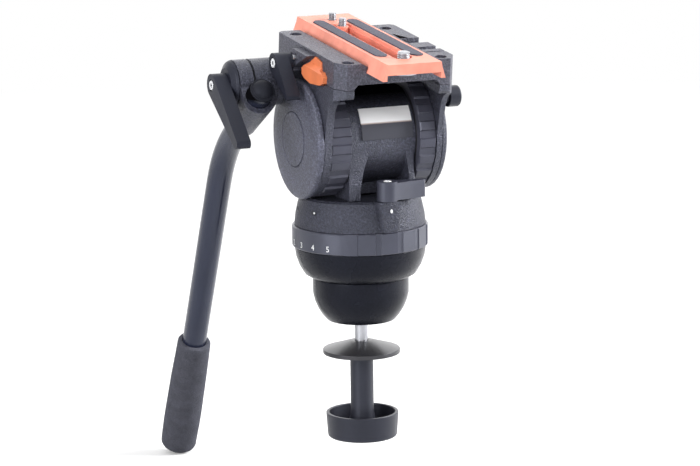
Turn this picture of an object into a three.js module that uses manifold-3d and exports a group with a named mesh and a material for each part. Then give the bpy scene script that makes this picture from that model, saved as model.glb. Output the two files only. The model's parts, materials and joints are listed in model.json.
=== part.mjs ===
// Fluid video head on a levelling half ball, with its pan handle, sliding camera plate and tie-down knob.
// Millimetres. +Z is up, -Y is the front, X runs across. Z = 0 is the rim plane of the levelling ball.
// The tilting part is designed level, then placed nose down by restTilt, as the head stands.

import * as THREE from 'three';
import { mergeVertices } from 'three/addons/utils/BufferGeometryUtils.js';
import Module from 'manifold-3d';

const wasm = await Module();
wasm.setup();

// Gaps between neighbours, and how finely round shapes are drawn
const gap = 0.3;
const slip = 0.2;
const over = 1;
const weld = 0.0004;
const fine = 40;
const medium = 28;
const small = 16;
const tiny = 12;
const hexagon = 6;

// Levelling ball
const ballR = 37.5;
const rimR = 37.1;
const rimTop = 7;
const ballBottom = -27;
const ballWall = 7;
const ballBossR = 11;
const ballRoofDrop = 11;
const ballRoof = rimTop - ballRoofDrop;
const ballSteps = 4;

// Tie-down stud, clamp washer and knob
const studR = 5;
const studRise = 10;
const studTop = ballRoof + studRise;
const studChamfer = 1;
const washerR = 30;
const washerDrop = 17;
const washerTop = ballBottom - washerDrop;
const washerDish = 6.5;
const washerEdge = washerTop - washerDish;
const washerWall = 3.2;
const washerHeight = 8.4;
const washerSeat = washerTop - washerHeight;
const neckR = 9;
const neckFootR = 12;
const neckHeight = 48.1;
const knobRimR = 28.2;
const knobFootR = 27;
const knobHeight = 19.5;
const knobRim = washerSeat - neckHeight;
const knobFoot = knobRim - knobHeight;
const knobWall = 2.6;
const knobFloor = 4;
const knobEdge = 1.2;
const studSkin = 8;
const studEnd = knobFoot + studSkin;

// Lower housing and the parts inside it: all round sizes go by the pan drag ring
const ringR = 52.4;
const housingInset = 1.7;
const housingR = ringR - housingInset;
const housingFootR = 38.5;
const housingHeight = 24.3;
const housingLow = rimTop + gap;
const housingTop = housingLow + housingHeight;
const housingSideShares = [[0.853, 0.123], [0.926, 0.38], [0.979, 0.69], [1, 1]];
const housingWall = 4;
const housingBase = 5.1;
const housingFloor = housingLow + housingBase;
const cartridgeInset = 12.7;
const cartridgeR = housingR - cartridgeInset;
const cartridgeRelief = 2;
const cartridgeBandShare = 1 / 3;

// Pan drag ring
const ringHeight = 16.5;
const ringBottom = housingTop + gap;
const ringTop = ringBottom + ringHeight;
const ringEdge = 0.8;
const ringWall = 6;
const spigotR = ringR - ringWall;
const ringFlutes = 13;
const ringFluteDepth = 0.9;
const ringPlainShare = 0.27;
const ringLandShare = 0.72;
const ringFluteStart = -121;
const wallShare = 0.15;

// Pan dome and the turning parts inside it
const domeInset = 1.8;
const domeR = ringR - domeInset;
const domeHeight = 23.1;
const domeLow = ringTop + gap;
const domeTop = domeLow + domeHeight;
const domeSideShares = [[1, 0], [0.982, 0.36], [0.947, 0.7], [0.917, 0.93], [0.886, 1]];
const domeSkin = 5.8;
const domeRoof = domeTop - domeSkin;
const spigotWall = 1.9;
const spigotRise = 2.1;
const spigotEnd = ringBottom + spigotRise;
const spindleR = 8;
const spindleHeadR = 12;
const spindleHeadHeight = 4.8;
const bearingR = 14;
const bearingHeight = 9.4;
const bearingRise = 1.5;
const bearingBottom = domeLow + bearingRise;
const bearingTop = bearingBottom + bearingHeight;
const spindleHead = bearingTop + gap + gap;
const spindleTop = spindleHead + spindleHeadHeight;
const hubWall = 3.5;
const nutRoomR = spindleHeadR + gap + gap + slip;
const drumPlay = 2.5;
const drumPlateR = spigotR - spigotWall - drumPlay;
const drumPlate = 3;
const drumRise = 1.4;
const drumBottom = housingTop + drumRise;
const drumHubR = 17;
const drumTop = bearingBottom - gap - gap;
const cartridgeTop = drumBottom - gap - gap;

// Pan lock: boss on the dome and lever, close in front of the tilt housing's barrel
const bossX = 2.6;
const tiltRingR = 45;
const barrelInset = 8.1;
const barrelR = tiltRingR - barrelInset;
const lockHubR = 8;
const bossRoom = 1.4;
const bossY = -barrelR - lockHubR - bossRoom;
const bossFootR = 8;
const bossTopR = 10.6;
const bossProud = 0.4;
const bossTop = domeTop + bossProud;
const bossFront = 6.3;
const bossReach = bossFront - bossY;
const lockHeight = 14.8;
const lockBottom = bossTop + gap;
const lockTop = lockBottom + lockHeight;
const lockBarInset = 0.8;
const lockReach = 29;
const lockTipBack = 1.2;
const lockTipR = 2.6;
const lockScrewR = 3.4;
const lockScrewDepth = 1.4;

// Tilt axis, and the platform's edges that the pieces across the head are built from
const axisRise = tiltRingR + gap;
const axisZ = domeTop + axisRise;
const restTilt = 6.2;
const deckHalf = 47.4;
const cheekWall = 6.2;
const leftCheekIn = cheekWall - deckHalf;
const rightCheekWall = 4.5;
const rightCheekProud = 2;
const rightCheekOut = deckHalf + rightCheekProud;
const rightCheekIn = rightCheekOut - rightCheekWall;

// Rings and drums at the two ends of the tilt housing
const tiltRingFlutes = 21;
const tiltFluteDepth = 1.4;
const tiltLandShare = 0.45;
const tiltRingEdge = 0.8;
const tiltRingWall = 7;
const tiltDrumR = tiltRingR - tiltRingWall;
const leftRingWidth = 16;
const rightRingWidth = 13;
const leftRingOut = leftCheekIn + gap;
const leftRingIn = leftRingOut + leftRingWidth;
const rightRingOut = rightCheekIn - gap - slip;
const rightRingIn = rightRingOut - rightRingWidth;
const drumShell = 4;
const drumFloor = 2.4;
const springInset = 13;
const springR = tiltDrumR - springInset;
const springWire = 1.6;
const springTurns = 2;
const springSteps = 30;
const springSides = 6;
const discInset = 6;
const discR = tiltDrumR - discInset;
const discWidth = 8;

// Tilt housing between the rings
const barrelGap = 0.9;
const barrelLeft = leftRingIn + barrelGap;
const barrelRight = rightRingIn - gap - slip;
const legDepth = 36;
const legReach = 46.4;
const boreR = 27;
const archRise = 41.9;
const archFoot = [9, 5];
const archHead = [19.5, 9.6];
const archCurve = 2;
const archSteps = 6;
const archBack = 28.9;
const nameInset = [10.4, 2.8];
const nameLow = 0.9;
const nameHigh = 23.4;
const nameThick = 0.8;
const nameSteps = 8;
const axleR = 9;
const axleProud = 2.4;
const axleLeft = -deckHalf - axleProud;
const axleRight = rightCheekOut + axleProud;
const bearingWall = 3.4;

// Platform deck
const deckFront = -67;
const deckRear = 53;
const ringHeadroom = 6.7;
const partingRise = tiltRingR + ringHeadroom;
const partingZ = axisZ + partingRise;
const deckThick = 20.1;
const deckTop = partingZ + deckThick;
const deckWeb = 4.2;
const deckUnder = partingZ + deckWeb;
const deckFillet = 3;
const deckBevelX = 6.4;
const deckBevelY = 10;
const deckRearBevel = 3;
const armWidth = 12.9;
const armInner = deckHalf - armWidth;
const channelDepth = 7.4;
const channelLipDepth = 2.6;
const channelFloor = deckTop - channelDepth;
const channelLipZ = deckTop - channelLipDepth;
const screwInset = 9.8;
const screwX = deckHalf - screwInset;
const screwFromFront = 7;
const screwFromRear = 12.6;
const screwFrontY = deckFront + screwFromFront;
const screwRearY = deckRear - screwFromRear;
const screwRoomR = 4.8;
const screwHeadR = 4.3;
const screwHeadHeight = 4.5;
const screwSeat = 4.7;
const screwHeadLow = partingZ + screwSeat;
const screwHeadTop = screwHeadLow + screwHeadHeight;
const screwShankR = 2.4;
const screwGrip = 9.3;
const screwEnd = screwHeadLow - screwGrip;
const socketR = 2.2;
const socketDepth = 2.4;
const railNotchWidth = 14;
const railNotchX = deckHalf - railNotchWidth;
const railNotchDepth = 4.3;
const railNotchFloor = deckTop - railNotchDepth;
const railNotches = [[-12.5, 3.5], [-35, -27], [-44.5, -42.5]];

// Side arms, seen from the side: (Y, height under the parting plane)
const noseDrop = [4.9, 6.9];
const noseSlant = 1.7;
const webFront = [[-58, 8.8], [-52, 13.3], [-48.8, 18.8], [-46.6, 28.8], [-44.5, 44.8]];
const webRear = [[44.5, 44.8], [46.6, 28.8], [48, 18.8], [53, 10.8]];
const shelfThick = 5.2;
const shelfEnd = 44;
const blockEnd = 50;
const cheekR = tiltRingR;
const cheekSteps = 26;

// Side covers: points (share of the radius, share of the height above the cheek)
const coverDomeShares = [[1, 0.44], [0.985, 0.63], [0.94, 0.78], [0.74, 0.93], [0.465, 1]];
const coverProud = 0.9;
const coverR = cheekR + coverProud;
const coverHeight = 6.8;
const insetR = 20.8;
const insetSink = 1.2;
const insetThick = 1.1;
const coverHollowWide = 4;
const coverHollowDeep = 0.8;
const coverHollowR = axleR + coverHollowWide;
const coverHollow = axleProud + coverHollowDeep;
const rightCoverInset = 0.1;
const rightCoverR = cheekR - rightCoverInset;
const rightCoverHeight = 6.2;

// Sliding camera plate: half section as points (X, Z)
const plateFront = -96;
const plateRear = 76;
const plateProud = 5.2;
const plateTop = deckTop + plateProud;
const plateTopHalf = 21.6;
const plateShoulderHalf = 22.3;
const plateShoulder = 3.5;
const plateFootHalf = 25.2;
const plateFootZ = channelFloor + gap;
const plateFootWall = 3.6;
const plateRecess = 4.3;
const plateCeiling = plateFootZ + plateRecess;
const channelPlay = 0.4;
const channelFootHalf = plateFootHalf + channelPlay;
const channelLipHalf = 24.2;
const channelTopHalf = 29.2;
const slotHalf = 5.1;
const slotFront = -81;
const slotRear = 44;
const ledgeHalf = 7.2;
const ledgeDepth = 1.9;
const holeY = 57.5;
const holeR = 3.6;
const padX = 13.6;
const padHalf = 4.7;
const padSink = 1;
const padProud = 0.8;
const padBottom = plateTop - padSink;
const padTop = plateTop + padProud;
const padLeft = [-70, 56];
const padRight = [-74, 54];
const padPoint = 4;
const endRound = 3;
const frontScrewY = -75.6;
const frontScrewR = 4.76;
const frontScrewRise = 4.4;
const frontHeadR = 9;
const rearScrewR = 3.175;
const rearScrewRise = 5.6;
const rearHeadR = 6.4;
const rearScrewY = [holeY, 38];
const headHeight = 3.4;
const headHigh = plateCeiling - gap;
const headLow = headHigh - headHeight;
const headSlotHalf = 0.8;
const headSlotDepth = 1.3;
const threadChamfer = 0.7;

// Plate lock: block on the left of the deck, lever, stop pin, jaw and safety catch
const lockBlockWidth = 6.3;
const lockBlockOut = -deckHalf - lockBlockWidth;
const lockBlockLow = deckThick - gap;
const lockBlockSide = [
  [8, 2.9],
  [-20.8, 2.9],
  [4.6, 16.6],
  [4.6, lockBlockLow],
  [17, lockBlockLow],
  [17, 11],
];
const plateLockY = 10;
const plateLockDrop = 14.1;
const plateLockZ = deckTop - plateLockDrop;
const plateLockHubR = 7.7;
const plateLockHubLong = 14.5;
const plateLockArmThick = 10.3;
const plateLockHubIn = lockBlockOut - gap;
const plateLockOut = plateLockHubIn - plateLockHubLong;
const plateLockArmIn = plateLockOut + plateLockArmThick;
const plateLockShaftR = 3;
const plateLockReach = [28, 20];
const plateLockTipR = 2.4;
const pinY = 1.6;
const pinDrop = 8.5;
const pinZ = deckTop - pinDrop;
const pinR = 2;
const pinProud = 2.4;
const pinOut = lockBlockOut - pinProud;
const pinDepth = 2.4;
const pinIn = pinDepth - deckHalf;
const jawFront = -8;
const jawRear = 24;
const jawLow = plateFootZ;
const jawHigh = channelLipZ - gap;
const jawRoofZ = jawHigh + gap + slip;
const jawWidth = 3.5;
const jawTailReach = 11.5;
const jawTailOut = -plateFootHalf - jawTailReach;
const jawTailIn = jawTailOut + jawWidth;
const jawTailHalf = 7;
const jawTailDrop = 10.5;
const jawTailLow = channelFloor - jawTailDrop;
const jawTravel = 0.7;
const jawPlay = 0.8;
const plateLockShaftIn = jawTailOut - jawPlay;
const catchSide = [
  [-3.6, 15.4],
  [-3.2, 20.4],
  [-8, 22.6],
  [-20, 24.2],
  [-38, 21.6],
  [-43.2, 19.1],
  [-44, 14.3],
  [-40.4, 11.6],
  [-35.4, 11.2],
  [-34.6, 4.9],
  [-22.8, 3.1],
];
const catchProud = 3.4;
const catchFace = 0.6;
const catchDepth = 6;
const catchBreak = [9, 12.5];
const catchLowest = 3;
const catchOut = -deckHalf - catchProud;
const catchIn = catchDepth - deckHalf;
const catchRoomDepth = 9.4;
const catchRoomIn = catchRoomDepth - deckHalf;
const catchRoomShare = 1.06;

// Pan handle clamp: pivot of the rosette and the split clamp
const pivotY = 33;
const pivotDrop = 13.8;
const pivotZ = partingZ - pivotDrop;
const clampR = 18.3;
const bracketLong = 13.5;
const bracketOut = -deckHalf - gap - bracketLong;
const bracketPlay = 0.4;
const bracketClear = coverR + bracketPlay;
const bracketFloor = 5.9;
const bracketFace = bracketOut + bracketFloor;
const clampIn = bracketOut - gap;
const clampLong = 30.5;
const clampOut = clampIn - clampLong;
const clampBolt = 4;
const boltDepth = 4.4;
const boltIn = boltDepth - deckHalf;
const slitHalf = 1;
const sleeveR = 14.2;
const sleeveEndR = 11.4;
const sleeveStart = 9.5;
const sleeveLong = 43;
const collarLong = 5.1;
const collarOut = clampOut - gap - collarLong;
const collarEndR = 12.5;
const collarMidShares = [0.94, 0.45];
const leverHubR = 8.7;
const leverThick = 11.3;
const leverIn = collarOut - gap;
const leverOut = leverIn - leverThick;
const leverReach = [51.6, 33];
const leverTipR = 3.9;
const endScrewR = 4.3;
const endScrewDepth = 1.2;
const boltStep = 6;
const boltOut = leverOut + boltStep;

// Handle tube in the plane X = tubeX, as points (Y, height over the pivot)
const tubeInset = 18.5;
const tubeX = clampIn - tubeInset;
const tubeR = 9.7;
const tubeWall = 1.8;
const tubeStart = [1.7, 1];
const tubeBendIn = [58, -48];
const tubeBendOut = [87, -93];
const gripTop = [134.8, -238.2];
const gripEnd = [169.1, -341.1];
const tubeStopShare = 0.86;
const bendSteps = 8;
const tubeSides = 16;
const bendPull = 18;
const capR = 7.9;
const capDome = 5.5;
const capRim = 1.4;
const capPlay = 1.5;
const capPlugR = tubeR - tubeWall - capPlay;
const capPlug = 8;
const capSteps = 5;
const gripTopR = 13.9;
const gripEndR = 15;
const gripBoreR = tubeR + gap;
const gripRound = 6;
const gripShoulder = 12;
const gripRoundSteps = 4;

// Tilt lock knob at the right
const tiltLockY = -38;
const tiltLockDrop = 16.8;
const tiltLockZ = partingZ - tiltLockDrop;
const tiltLockR = 8.2;
const tiltLockNeckR = 5;
const tiltLockNeck = 4.6;
const tiltLockLong = 9.6;
const tiltLockIn = rightCheekOut + gap + slip;
const tiltLockHead = tiltLockIn + tiltLockNeck;
const tiltLockOut = tiltLockHead + tiltLockLong;
const tiltLockStemR = 3;
const tiltLockStemLong = 3.9;
const tiltLockStemIn = tiltLockIn - tiltLockStemLong;
const tiltLockEdge = 1;

// Materials
function surface(color, roughness, metalness) {
  return { color, roughness, metalness };
}

const casting = surface(0x17181b, 0.55, 0.3);
const deckPaint = surface(0x2a2c30, 0.5, 0.35);
const ringPaint = surface(0x1c1d20, 0.5, 0.3);
const leverPaint = surface(0x202226, 0.5, 0.2);
const orange = surface(0xe8642e, 0.4, 0.45);
const catchOrange = surface(0xee6a35, 0.5, 0.05);
const padRubber = surface(0x2b2b2e, 0.85, 0);
const foam = surface(0x1d1d20, 0.95, 0);
const tubePaint = surface(0x1f232c, 0.3, 0.4);
const knobPlastic = surface(0x2a2b2d, 0.6, 0);
const steel = surface(0xb9bcc0, 0.3, 0.95);
const darkSteel = surface(0x3a3b3e, 0.45, 0.8);
const labelPlate = surface(0xd8d9da, 0.4, 0.2);
const bronze = surface(0x9a7a48, 0.4, 0.9);

// Removes doubled corners and empty triangles, and turns the faces outward
function clean(geometry) {
  const bare = geometry.index ? geometry.toNonIndexed() : geometry.clone();
  for (const name of Object.keys(bare.attributes)) {
    if (name !== 'position') {
      bare.deleteAttribute(name);
    }
  }
  const joined = mergeVertices(bare, weld);
  const place = joined.attributes.position;
  const old = joined.index.array;
  const kept = [];
  let volume = 0;
  for (let i = 0; i < old.length; i += 3) {
    const [a, b, c] = [old[i], old[i + 1], old[i + 2]];
    if (a === b || b === c || a === c) {
      continue;
    }
    kept.push(a, b, c);
    const corner = [a, b, c].map((n) => new THREE.Vector3().fromBufferAttribute(place, n));
    volume += corner[0].dot(corner[1].cross(corner[2]));
  }
  if (volume < 0) {
    kept.reverse();
  }
  joined.setIndex(kept);
  return joined;
}

// A solid that can be cut and joined
function body(geometry) {
  const tidy = clean(geometry);
  const mesh = new wasm.Mesh({
    numProp: 3,
    vertProperties: new Float32Array(tidy.attributes.position.array),
    triVerts: new Uint32Array(tidy.index.array),
  });
  return new wasm.Manifold(mesh);
}

// Back to a three.js geometry
function shapeOf(solid) {
  const mesh = solid.getMesh();
  const geometry = new THREE.BufferGeometry();
  const corners = new Float32Array(mesh.vertProperties);
  geometry.setAttribute('position', new THREE.BufferAttribute(corners, mesh.numProp));
  geometry.setIndex(Array.from(mesh.triVerts));
  return geometry;
}

// Closed outline from points
function outline(points) {
  return new THREE.Shape(points.map((point) => new THREE.Vector2(point[0], point[1])));
}

// Straight prism of an outline in X and Y, from z0 up to z1
function prismZ(shape, z0, z1, segments = tiny) {
  const options = { depth: z1 - z0, bevelEnabled: false, curveSegments: segments };
  return new THREE.ExtrudeGeometry(shape, options).translate(0, 0, z0);
}

// Prism of an outline in Y and Z, from x0 to x1
function prismX(shape, x0, x1, segments = tiny) {
  const turn = new THREE.Matrix4().set(0, 0, 1, 0, 1, 0, 0, 0, 0, 1, 0, 0, 0, 0, 0, 1);
  return prismZ(shape, x0, x1, segments).applyMatrix4(turn);
}

// Prism of an outline in X and Z, from y0 to y1
function prismY(shape, y0, y1, segments = tiny) {
  const turn = new THREE.Matrix4().set(1, 0, 0, 0, 0, 0, -1, 0, 0, 1, 0, 0, 0, 0, 0, 1);
  return prismZ(shape, -y1, -y0, segments).applyMatrix4(turn);
}

// Turned part about Z from points (radius, Z); both ends on the axis, or a closed loop
function turnedZ(points, segments) {
  const loop = points.map((point) => new THREE.Vector2(point[0], point[1]));
  const onAxis = points[0][0] === 0 && points[points.length - 1][0] === 0;
  if (!onAxis) {
    loop.push(loop[0].clone());
  }
  return new THREE.LatheGeometry(loop, segments).rotateX(Math.PI / 2);
}

// Turned part about an axis along X through (y, z), from points (radius, X)
function turnedX(points, segments, y, z) {
  return turnedZ(points, segments).rotateY(Math.PI / 2).translate(0, y, z);
}

// Plain rod along X or Z
function rodX(radius, x0, x1, y, z, segments = small) {
  return turnedX([[0, x0], [radius, x0], [radius, x1], [0, x1]], segments, y, z);
}

function rodZ(radius, z0, z1, x, y, segments = small) {
  const points = [[0, z0], [radius, z0], [radius, z1], [0, z1]];
  return turnedZ(points, segments).translate(x, y, 0);
}

// Outline of a bar that narrows from one round end to another
function taperedBar(from, fromR, to, toR, segments = small) {
  const along = Math.atan2(to[1] - from[1], to[0] - from[0]);
  const reach = Math.hypot(to[0] - from[0], to[1] - from[1]);
  const lean = Math.acos((fromR - toR) / reach);
  const shape = new THREE.Shape();
  shape.absarc(to[0], to[1], toR, along - lean, along + lean, false);
  shape.absarc(from[0], from[1], fromR, along + lean, along - lean + Math.PI * 2, false);
  shape.closePath();
  shape.curveResolution = segments;
  return shape;
}

// Fluted round outline: raised lands with shallow valleys between them
function flutedOutline(radius, flutes, depth, landShare, plainShare, startAngle) {
  const points = [];
  const plain = Math.PI * 2 * plainShare;
  const pitch = (Math.PI * 2 - plain) / flutes;
  const valley = 1 - landShare;
  const share = [valley * wallShare, valley * (1 - wallShare), valley, 1];
  const level = [1, 1, 0, 0];
  for (let i = 0; i < flutes; i += 1) {
    for (let k = 0; k < share.length; k += 1) {
      const angle = startAngle + (i + share[k]) * pitch;
      const r = radius - depth * level[k];
      points.push([Math.cos(angle) * r, Math.sin(angle) * r]);
    }
  }
  const steps = Math.round(fine * plainShare);
  for (let i = 1; i < steps; i += 1) {
    const angle = startAngle + flutes * pitch + (i * plain) / steps;
    points.push([Math.cos(angle) * radius, Math.sin(angle) * radius]);
  }
  return points;
}

const group = new THREE.Group();

function add(name, solid, look) {
  const material = new THREE.MeshStandardMaterial(look);
  const geometry = solid.isBufferGeometry ? clean(solid) : shapeOf(solid);
  const mesh = new THREE.Mesh(geometry, material);
  mesh.name = name;
  group.add(mesh);
  return geometry;
}

// Adds a piece of the tilting platform and leans it with the others
function addTilted(name, solid, look) {
  const geometry = add(name, solid, look);
  geometry.translate(0, 0, -axisZ);
  geometry.rotateX(THREE.MathUtils.degToRad(restTilt));
  geometry.translate(0, 0, axisZ);
}

// Levelling half ball, open below, with a threaded boss for the stud
function halfBall() {
  const points = [[studR + gap, rimTop], [rimR, rimTop]];
  const high = Math.acos(rimR / ballR);
  const low = Math.asin(-ballBottom / ballR);
  for (let i = 0; i <= ballSteps; i += 1) {
    const angle = high + ((low - high) * i) / ballSteps;
    points.push([ballR * Math.cos(angle), -ballR * Math.sin(angle)]);
  }
  const footR = ballR * Math.cos(low);
  points.push([footR - ballWall, ballBottom]);
  points.push([footR - ballWall, ballRoof]);
  points.push([ballBossR, ballRoof]);
  points.push([ballBossR, ballBottom]);
  points.push([studR + gap, ballBottom]);
  return turnedZ(points, medium);
}

function tieDownStud() {
  const points = [
    [0, studTop],
    [studR, studTop],
    [studR, studEnd + studChamfer],
    [studR - studChamfer, studEnd],
    [0, studEnd],
  ];
  return turnedZ(points, small);
}

// Dished washer that the knob presses up against the tripod bowl
function clampWasher() {
  const points = [
    [studR + gap, washerTop],
    [neckR, washerTop],
    [washerR, washerEdge],
    [washerR, washerEdge - washerWall],
    [neckFootR, washerSeat],
    [studR + gap, washerSeat],
  ];
  return turnedZ(points, medium);
}

// Cup-shaped knob with a long neck that runs on the stud
function tieDownKnob() {
  const points = [
    [0, knobFoot],
    [knobFootR - knobEdge, knobFoot],
    [knobFootR, knobFoot + knobEdge],
    [knobRimR, knobRim],
    [knobRimR - knobWall, knobRim],
    [knobFootR - knobWall, knobFoot + knobFloor],
    [neckFootR, knobFoot + knobFloor],
    [neckR, knobRim],
    [neckR, washerSeat - gap],
    [studR + slip, washerSeat - gap],
    [studR + slip, studEnd - gap],
    [0, studEnd - gap],
  ];
  return turnedZ(points, medium);
}

function lowerHousing() {
  const floorR = spindleR + gap;
  const side = housingSideShares.map(([r, h]) => [r * housingR, housingLow + h * housingHeight]);
  const inner = side.slice(1).reverse().map(([r, z]) => [r - housingWall, z]);
  const points = [
    [floorR, housingLow],
    [housingFootR, housingLow],
    ...side,
    ...inner,
    [cartridgeR + gap, housingFloor],
    [floorR, housingFloor],
  ];
  return turnedZ(points, fine);
}

function panSpindle() {
  const points = [
    [0, housingLow],
    [spindleR, housingLow],
    [spindleR, spindleHead],
    [spindleHeadR, spindleHead],
    [spindleHeadR, spindleTop],
    [0, spindleTop],
  ];
  return turnedZ(points, small);
}

// Stack of drag discs on the spindle, stepped like the packed discs
function panCartridge() {
  const inner = spindleR + gap;
  const low = housingFloor + gap;
  const band = (cartridgeTop - low) * cartridgeBandShare;
  const points = [
    [inner, low],
    [cartridgeR, low],
    [cartridgeR, low + band],
    [cartridgeR - cartridgeRelief, low + band],
    [cartridgeR - cartridgeRelief, cartridgeTop - band],
    [cartridgeR, cartridgeTop - band],
    [cartridgeR, cartridgeTop],
    [inner, cartridgeTop],
  ];
  return turnedZ(points, small);
}

function ringOutline() {
  const start = THREE.MathUtils.degToRad(ringFluteStart);
  return flutedOutline(ringR, ringFlutes, ringFluteDepth, ringLandShare, ringPlainShare, start);
}

// Ring with a plain part for the dial numbers and flutes for the fingers
function panDragRing() {
  const shape = outline(ringOutline());
  const fluted = body(prismZ(shape, ringBottom, ringTop));
  const inner = spigotR + slip;
  const trim = [
    [inner, ringBottom],
    [ringR - ringEdge, ringBottom],
    [ringR + over, ringBottom + ringEdge + over],
    [ringR + over, ringTop - ringEdge - over],
    [ringR - ringEdge, ringTop],
    [inner, ringTop],
  ];
  return fluted.intersect(body(turnedZ(trim, fine)));
}

// Turning dome with the spigot that carries the ring and the boss of the lock
function panDome() {
  const side = domeSideShares.map(([r, h]) => [r * domeR, domeLow + h * domeHeight]);
  const points = [
    [bearingR + gap, bearingBottom - gap],
    [bearingR + gap, bearingTop + gap],
    [nutRoomR, bearingTop + gap],
    [nutRoomR, domeTop],
    ...side.slice().reverse(),
    [spigotR, domeLow],
    [spigotR, spigotEnd],
    [spigotR - spigotWall, spigotEnd],
    [spigotR - spigotWall, domeRoof],
    [bearingR + gap + hubWall, domeRoof],
    [bearingR + gap + hubWall, bearingBottom - gap],
  ];
  const dome = body(turnedZ(points, fine));
  const bossPoints = [[0, domeLow], [bossFootR, domeLow], [bossTopR, bossTop], [0, bossTop]];
  const boss = body(turnedZ(bossPoints, medium).translate(bossX, bossY, 0));
  const reach = [
    [spigotR, domeLow],
    [bossReach, domeLow],
    [bossReach, bossTop],
    [spigotR - hubWall, bossTop],
  ];
  const front = boss.intersect(body(turnedZ(reach, fine)));
  return dome.add(front);
}

function panBearing() {
  const points = [
    [spindleR + slip, bearingBottom],
    [bearingR, bearingBottom],
    [bearingR, bearingTop],
    [spindleR + slip, bearingTop],
  ];
  return turnedZ(points, small);
}

// Disc that the dome drags through the fluid
function panDragDrum() {
  const points = [
    [spindleR + gap, drumBottom],
    [drumPlateR, drumBottom],
    [drumPlateR, drumBottom + drumPlate],
    [drumHubR, drumBottom + drumPlate],
    [drumHubR, drumTop],
    [spindleR + gap, drumTop],
  ];
  return turnedZ(points, small);
}

function panLockLever() {
  const hub = body(rodZ(lockHubR, lockBottom, lockTop, bossX, bossY, medium));
  const tip = [bossX + lockReach, bossY + lockTipBack];
  const bar = taperedBar([bossX, bossY], lockHubR - gap, tip, lockTipR);
  const blade = body(prismZ(bar, lockBottom + lockBarInset, lockTop - lockBarInset));
  const room = body(rodZ(lockScrewR + gap, lockTop - lockScrewDepth, lockTop + over, bossX, bossY));
  return hub.add(blade).subtract(room);
}

function panLockScrew() {
  const low = lockTop - lockScrewDepth + gap;
  return rodZ(lockScrewR, low, lockTop + gap, bossX, bossY);
}

// Opening between the legs: wide at the foot, with sides that curve in towards the barrel
function archOutline(low) {
  const left = [];
  const right = [];
  for (let i = 0; i <= archSteps; i += 1) {
    const rise = i / archSteps;
    const turn = rise ** archCurve;
    const z = low + archRise * rise;
    left.push([barrelLeft + archFoot[0] + (archHead[0] - archFoot[0]) * turn, z]);
    right.push([barrelRight - archFoot[1] - (archHead[1] - archFoot[1]) * turn, z]);
  }
  const below = [[left[0][0], low - over], [right[0][0], low - over]];
  return outline([below[0], ...left, ...right.reverse(), below[1]]);
}

// Barrel across the head on a block that opens in front as an arch between two legs
function tiltHousing() {
  const low = domeTop + gap;
  const block = body(prismX(outline([
    [-legDepth, low],
    [legDepth, low],
    [legDepth, axisZ],
    [-legDepth, axisZ],
  ]), barrelLeft, barrelRight));
  const reach = body(rodZ(legReach, low - over, axisZ + over, 0, 0, fine));
  const front = -barrelR - over;
  const arch = body(prismY(archOutline(low), front, front + over + archBack));
  const barrel = body(rodX(barrelR, barrelLeft, barrelRight, 0, axisZ, fine));
  const bore = body(rodX(boreR, barrelLeft - over, barrelRight + over, 0, axisZ, medium));
  return block.intersect(reach).subtract(arch).add(barrel).subtract(bore);
}

// Bare name plate bent round the front of the barrel
function namePlate() {
  const inner = barrelR + gap;
  const outer = inner + nameThick;
  const from = Math.asin(nameLow / barrelR);
  const to = Math.asin(nameHigh / barrelR);
  const points = [];
  for (let i = 0; i <= nameSteps; i += 1) {
    const angle = from + ((to - from) * i) / nameSteps;
    points.push([-outer * Math.cos(angle), axisZ + outer * Math.sin(angle)]);
  }
  for (let i = nameSteps; i >= 0; i -= 1) {
    const angle = from + ((to - from) * i) / nameSteps;
    points.push([-inner * Math.cos(angle), axisZ + inner * Math.sin(angle)]);
  }
  return prismX(outline(points), barrelLeft + nameInset[0], barrelRight - nameInset[1]);
}

function tiltBearing(x0, x1) {
  const points = [
    [axleR + slip, x0],
    [boreR - gap, x0],
    [boreR - gap, x1],
    [axleR + slip, x1],
  ];
  return turnedX(points, small, 0, axisZ);
}

function tiltCartridge() {
  const x0 = barrelLeft + gap + bearingWall + gap;
  const x1 = barrelRight - gap - bearingWall - gap;
  const points = [
    [axleR + gap, x0],
    [boreR - gap, x0],
    [boreR - gap, x1],
    [axleR + gap, x1],
  ];
  return turnedX(points, small, 0, axisZ);
}

// Fluted ring round one end of the housing
function tiltRing(x0, x1) {
  const centred = outline(flutedOutline(tiltRingR, tiltRingFlutes, tiltFluteDepth, tiltLandShare, 0, 0));
  const fluted = body(prismX(centred, x0, x1).translate(0, 0, axisZ));
  const inner = tiltDrumR + slip;
  const trim = [
    [inner, x0],
    [tiltRingR - tiltRingEdge, x0],
    [tiltRingR + over, x0 + tiltRingEdge + over],
    [tiltRingR + over, x1 - tiltRingEdge - over],
    [tiltRingR - tiltRingEdge, x1],
    [inner, x1],
  ];
  return fluted.intersect(body(turnedX(trim, fine, 0, axisZ)));
}

// Cup inside a ring; its floor stands on the housing and its mouth faces the side arm
function ringDrum(floorX, mouthX) {
  const way = Math.sign(mouthX - floorX);
  const points = [
    [axleR + gap, floorX],
    [tiltDrumR, floorX],
    [tiltDrumR, mouthX],
    [tiltDrumR - drumShell, mouthX],
    [tiltDrumR - drumShell, floorX + way * drumFloor],
    [axleR + gap, floorX + way * drumFloor],
  ];
  return turnedX(points, medium, 0, axisZ);
}

// Brake disc stack of the tilt drag
function tiltDragDiscs() {
  const x1 = leftRingIn - drumFloor - gap;
  const x0 = x1 - discWidth;
  const points = [
    [axleR + gap, x0],
    [discR, x0],
    [discR, x1],
    [axleR + gap, x1],
  ];
  return turnedX(points, small, 0, axisZ);
}

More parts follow.
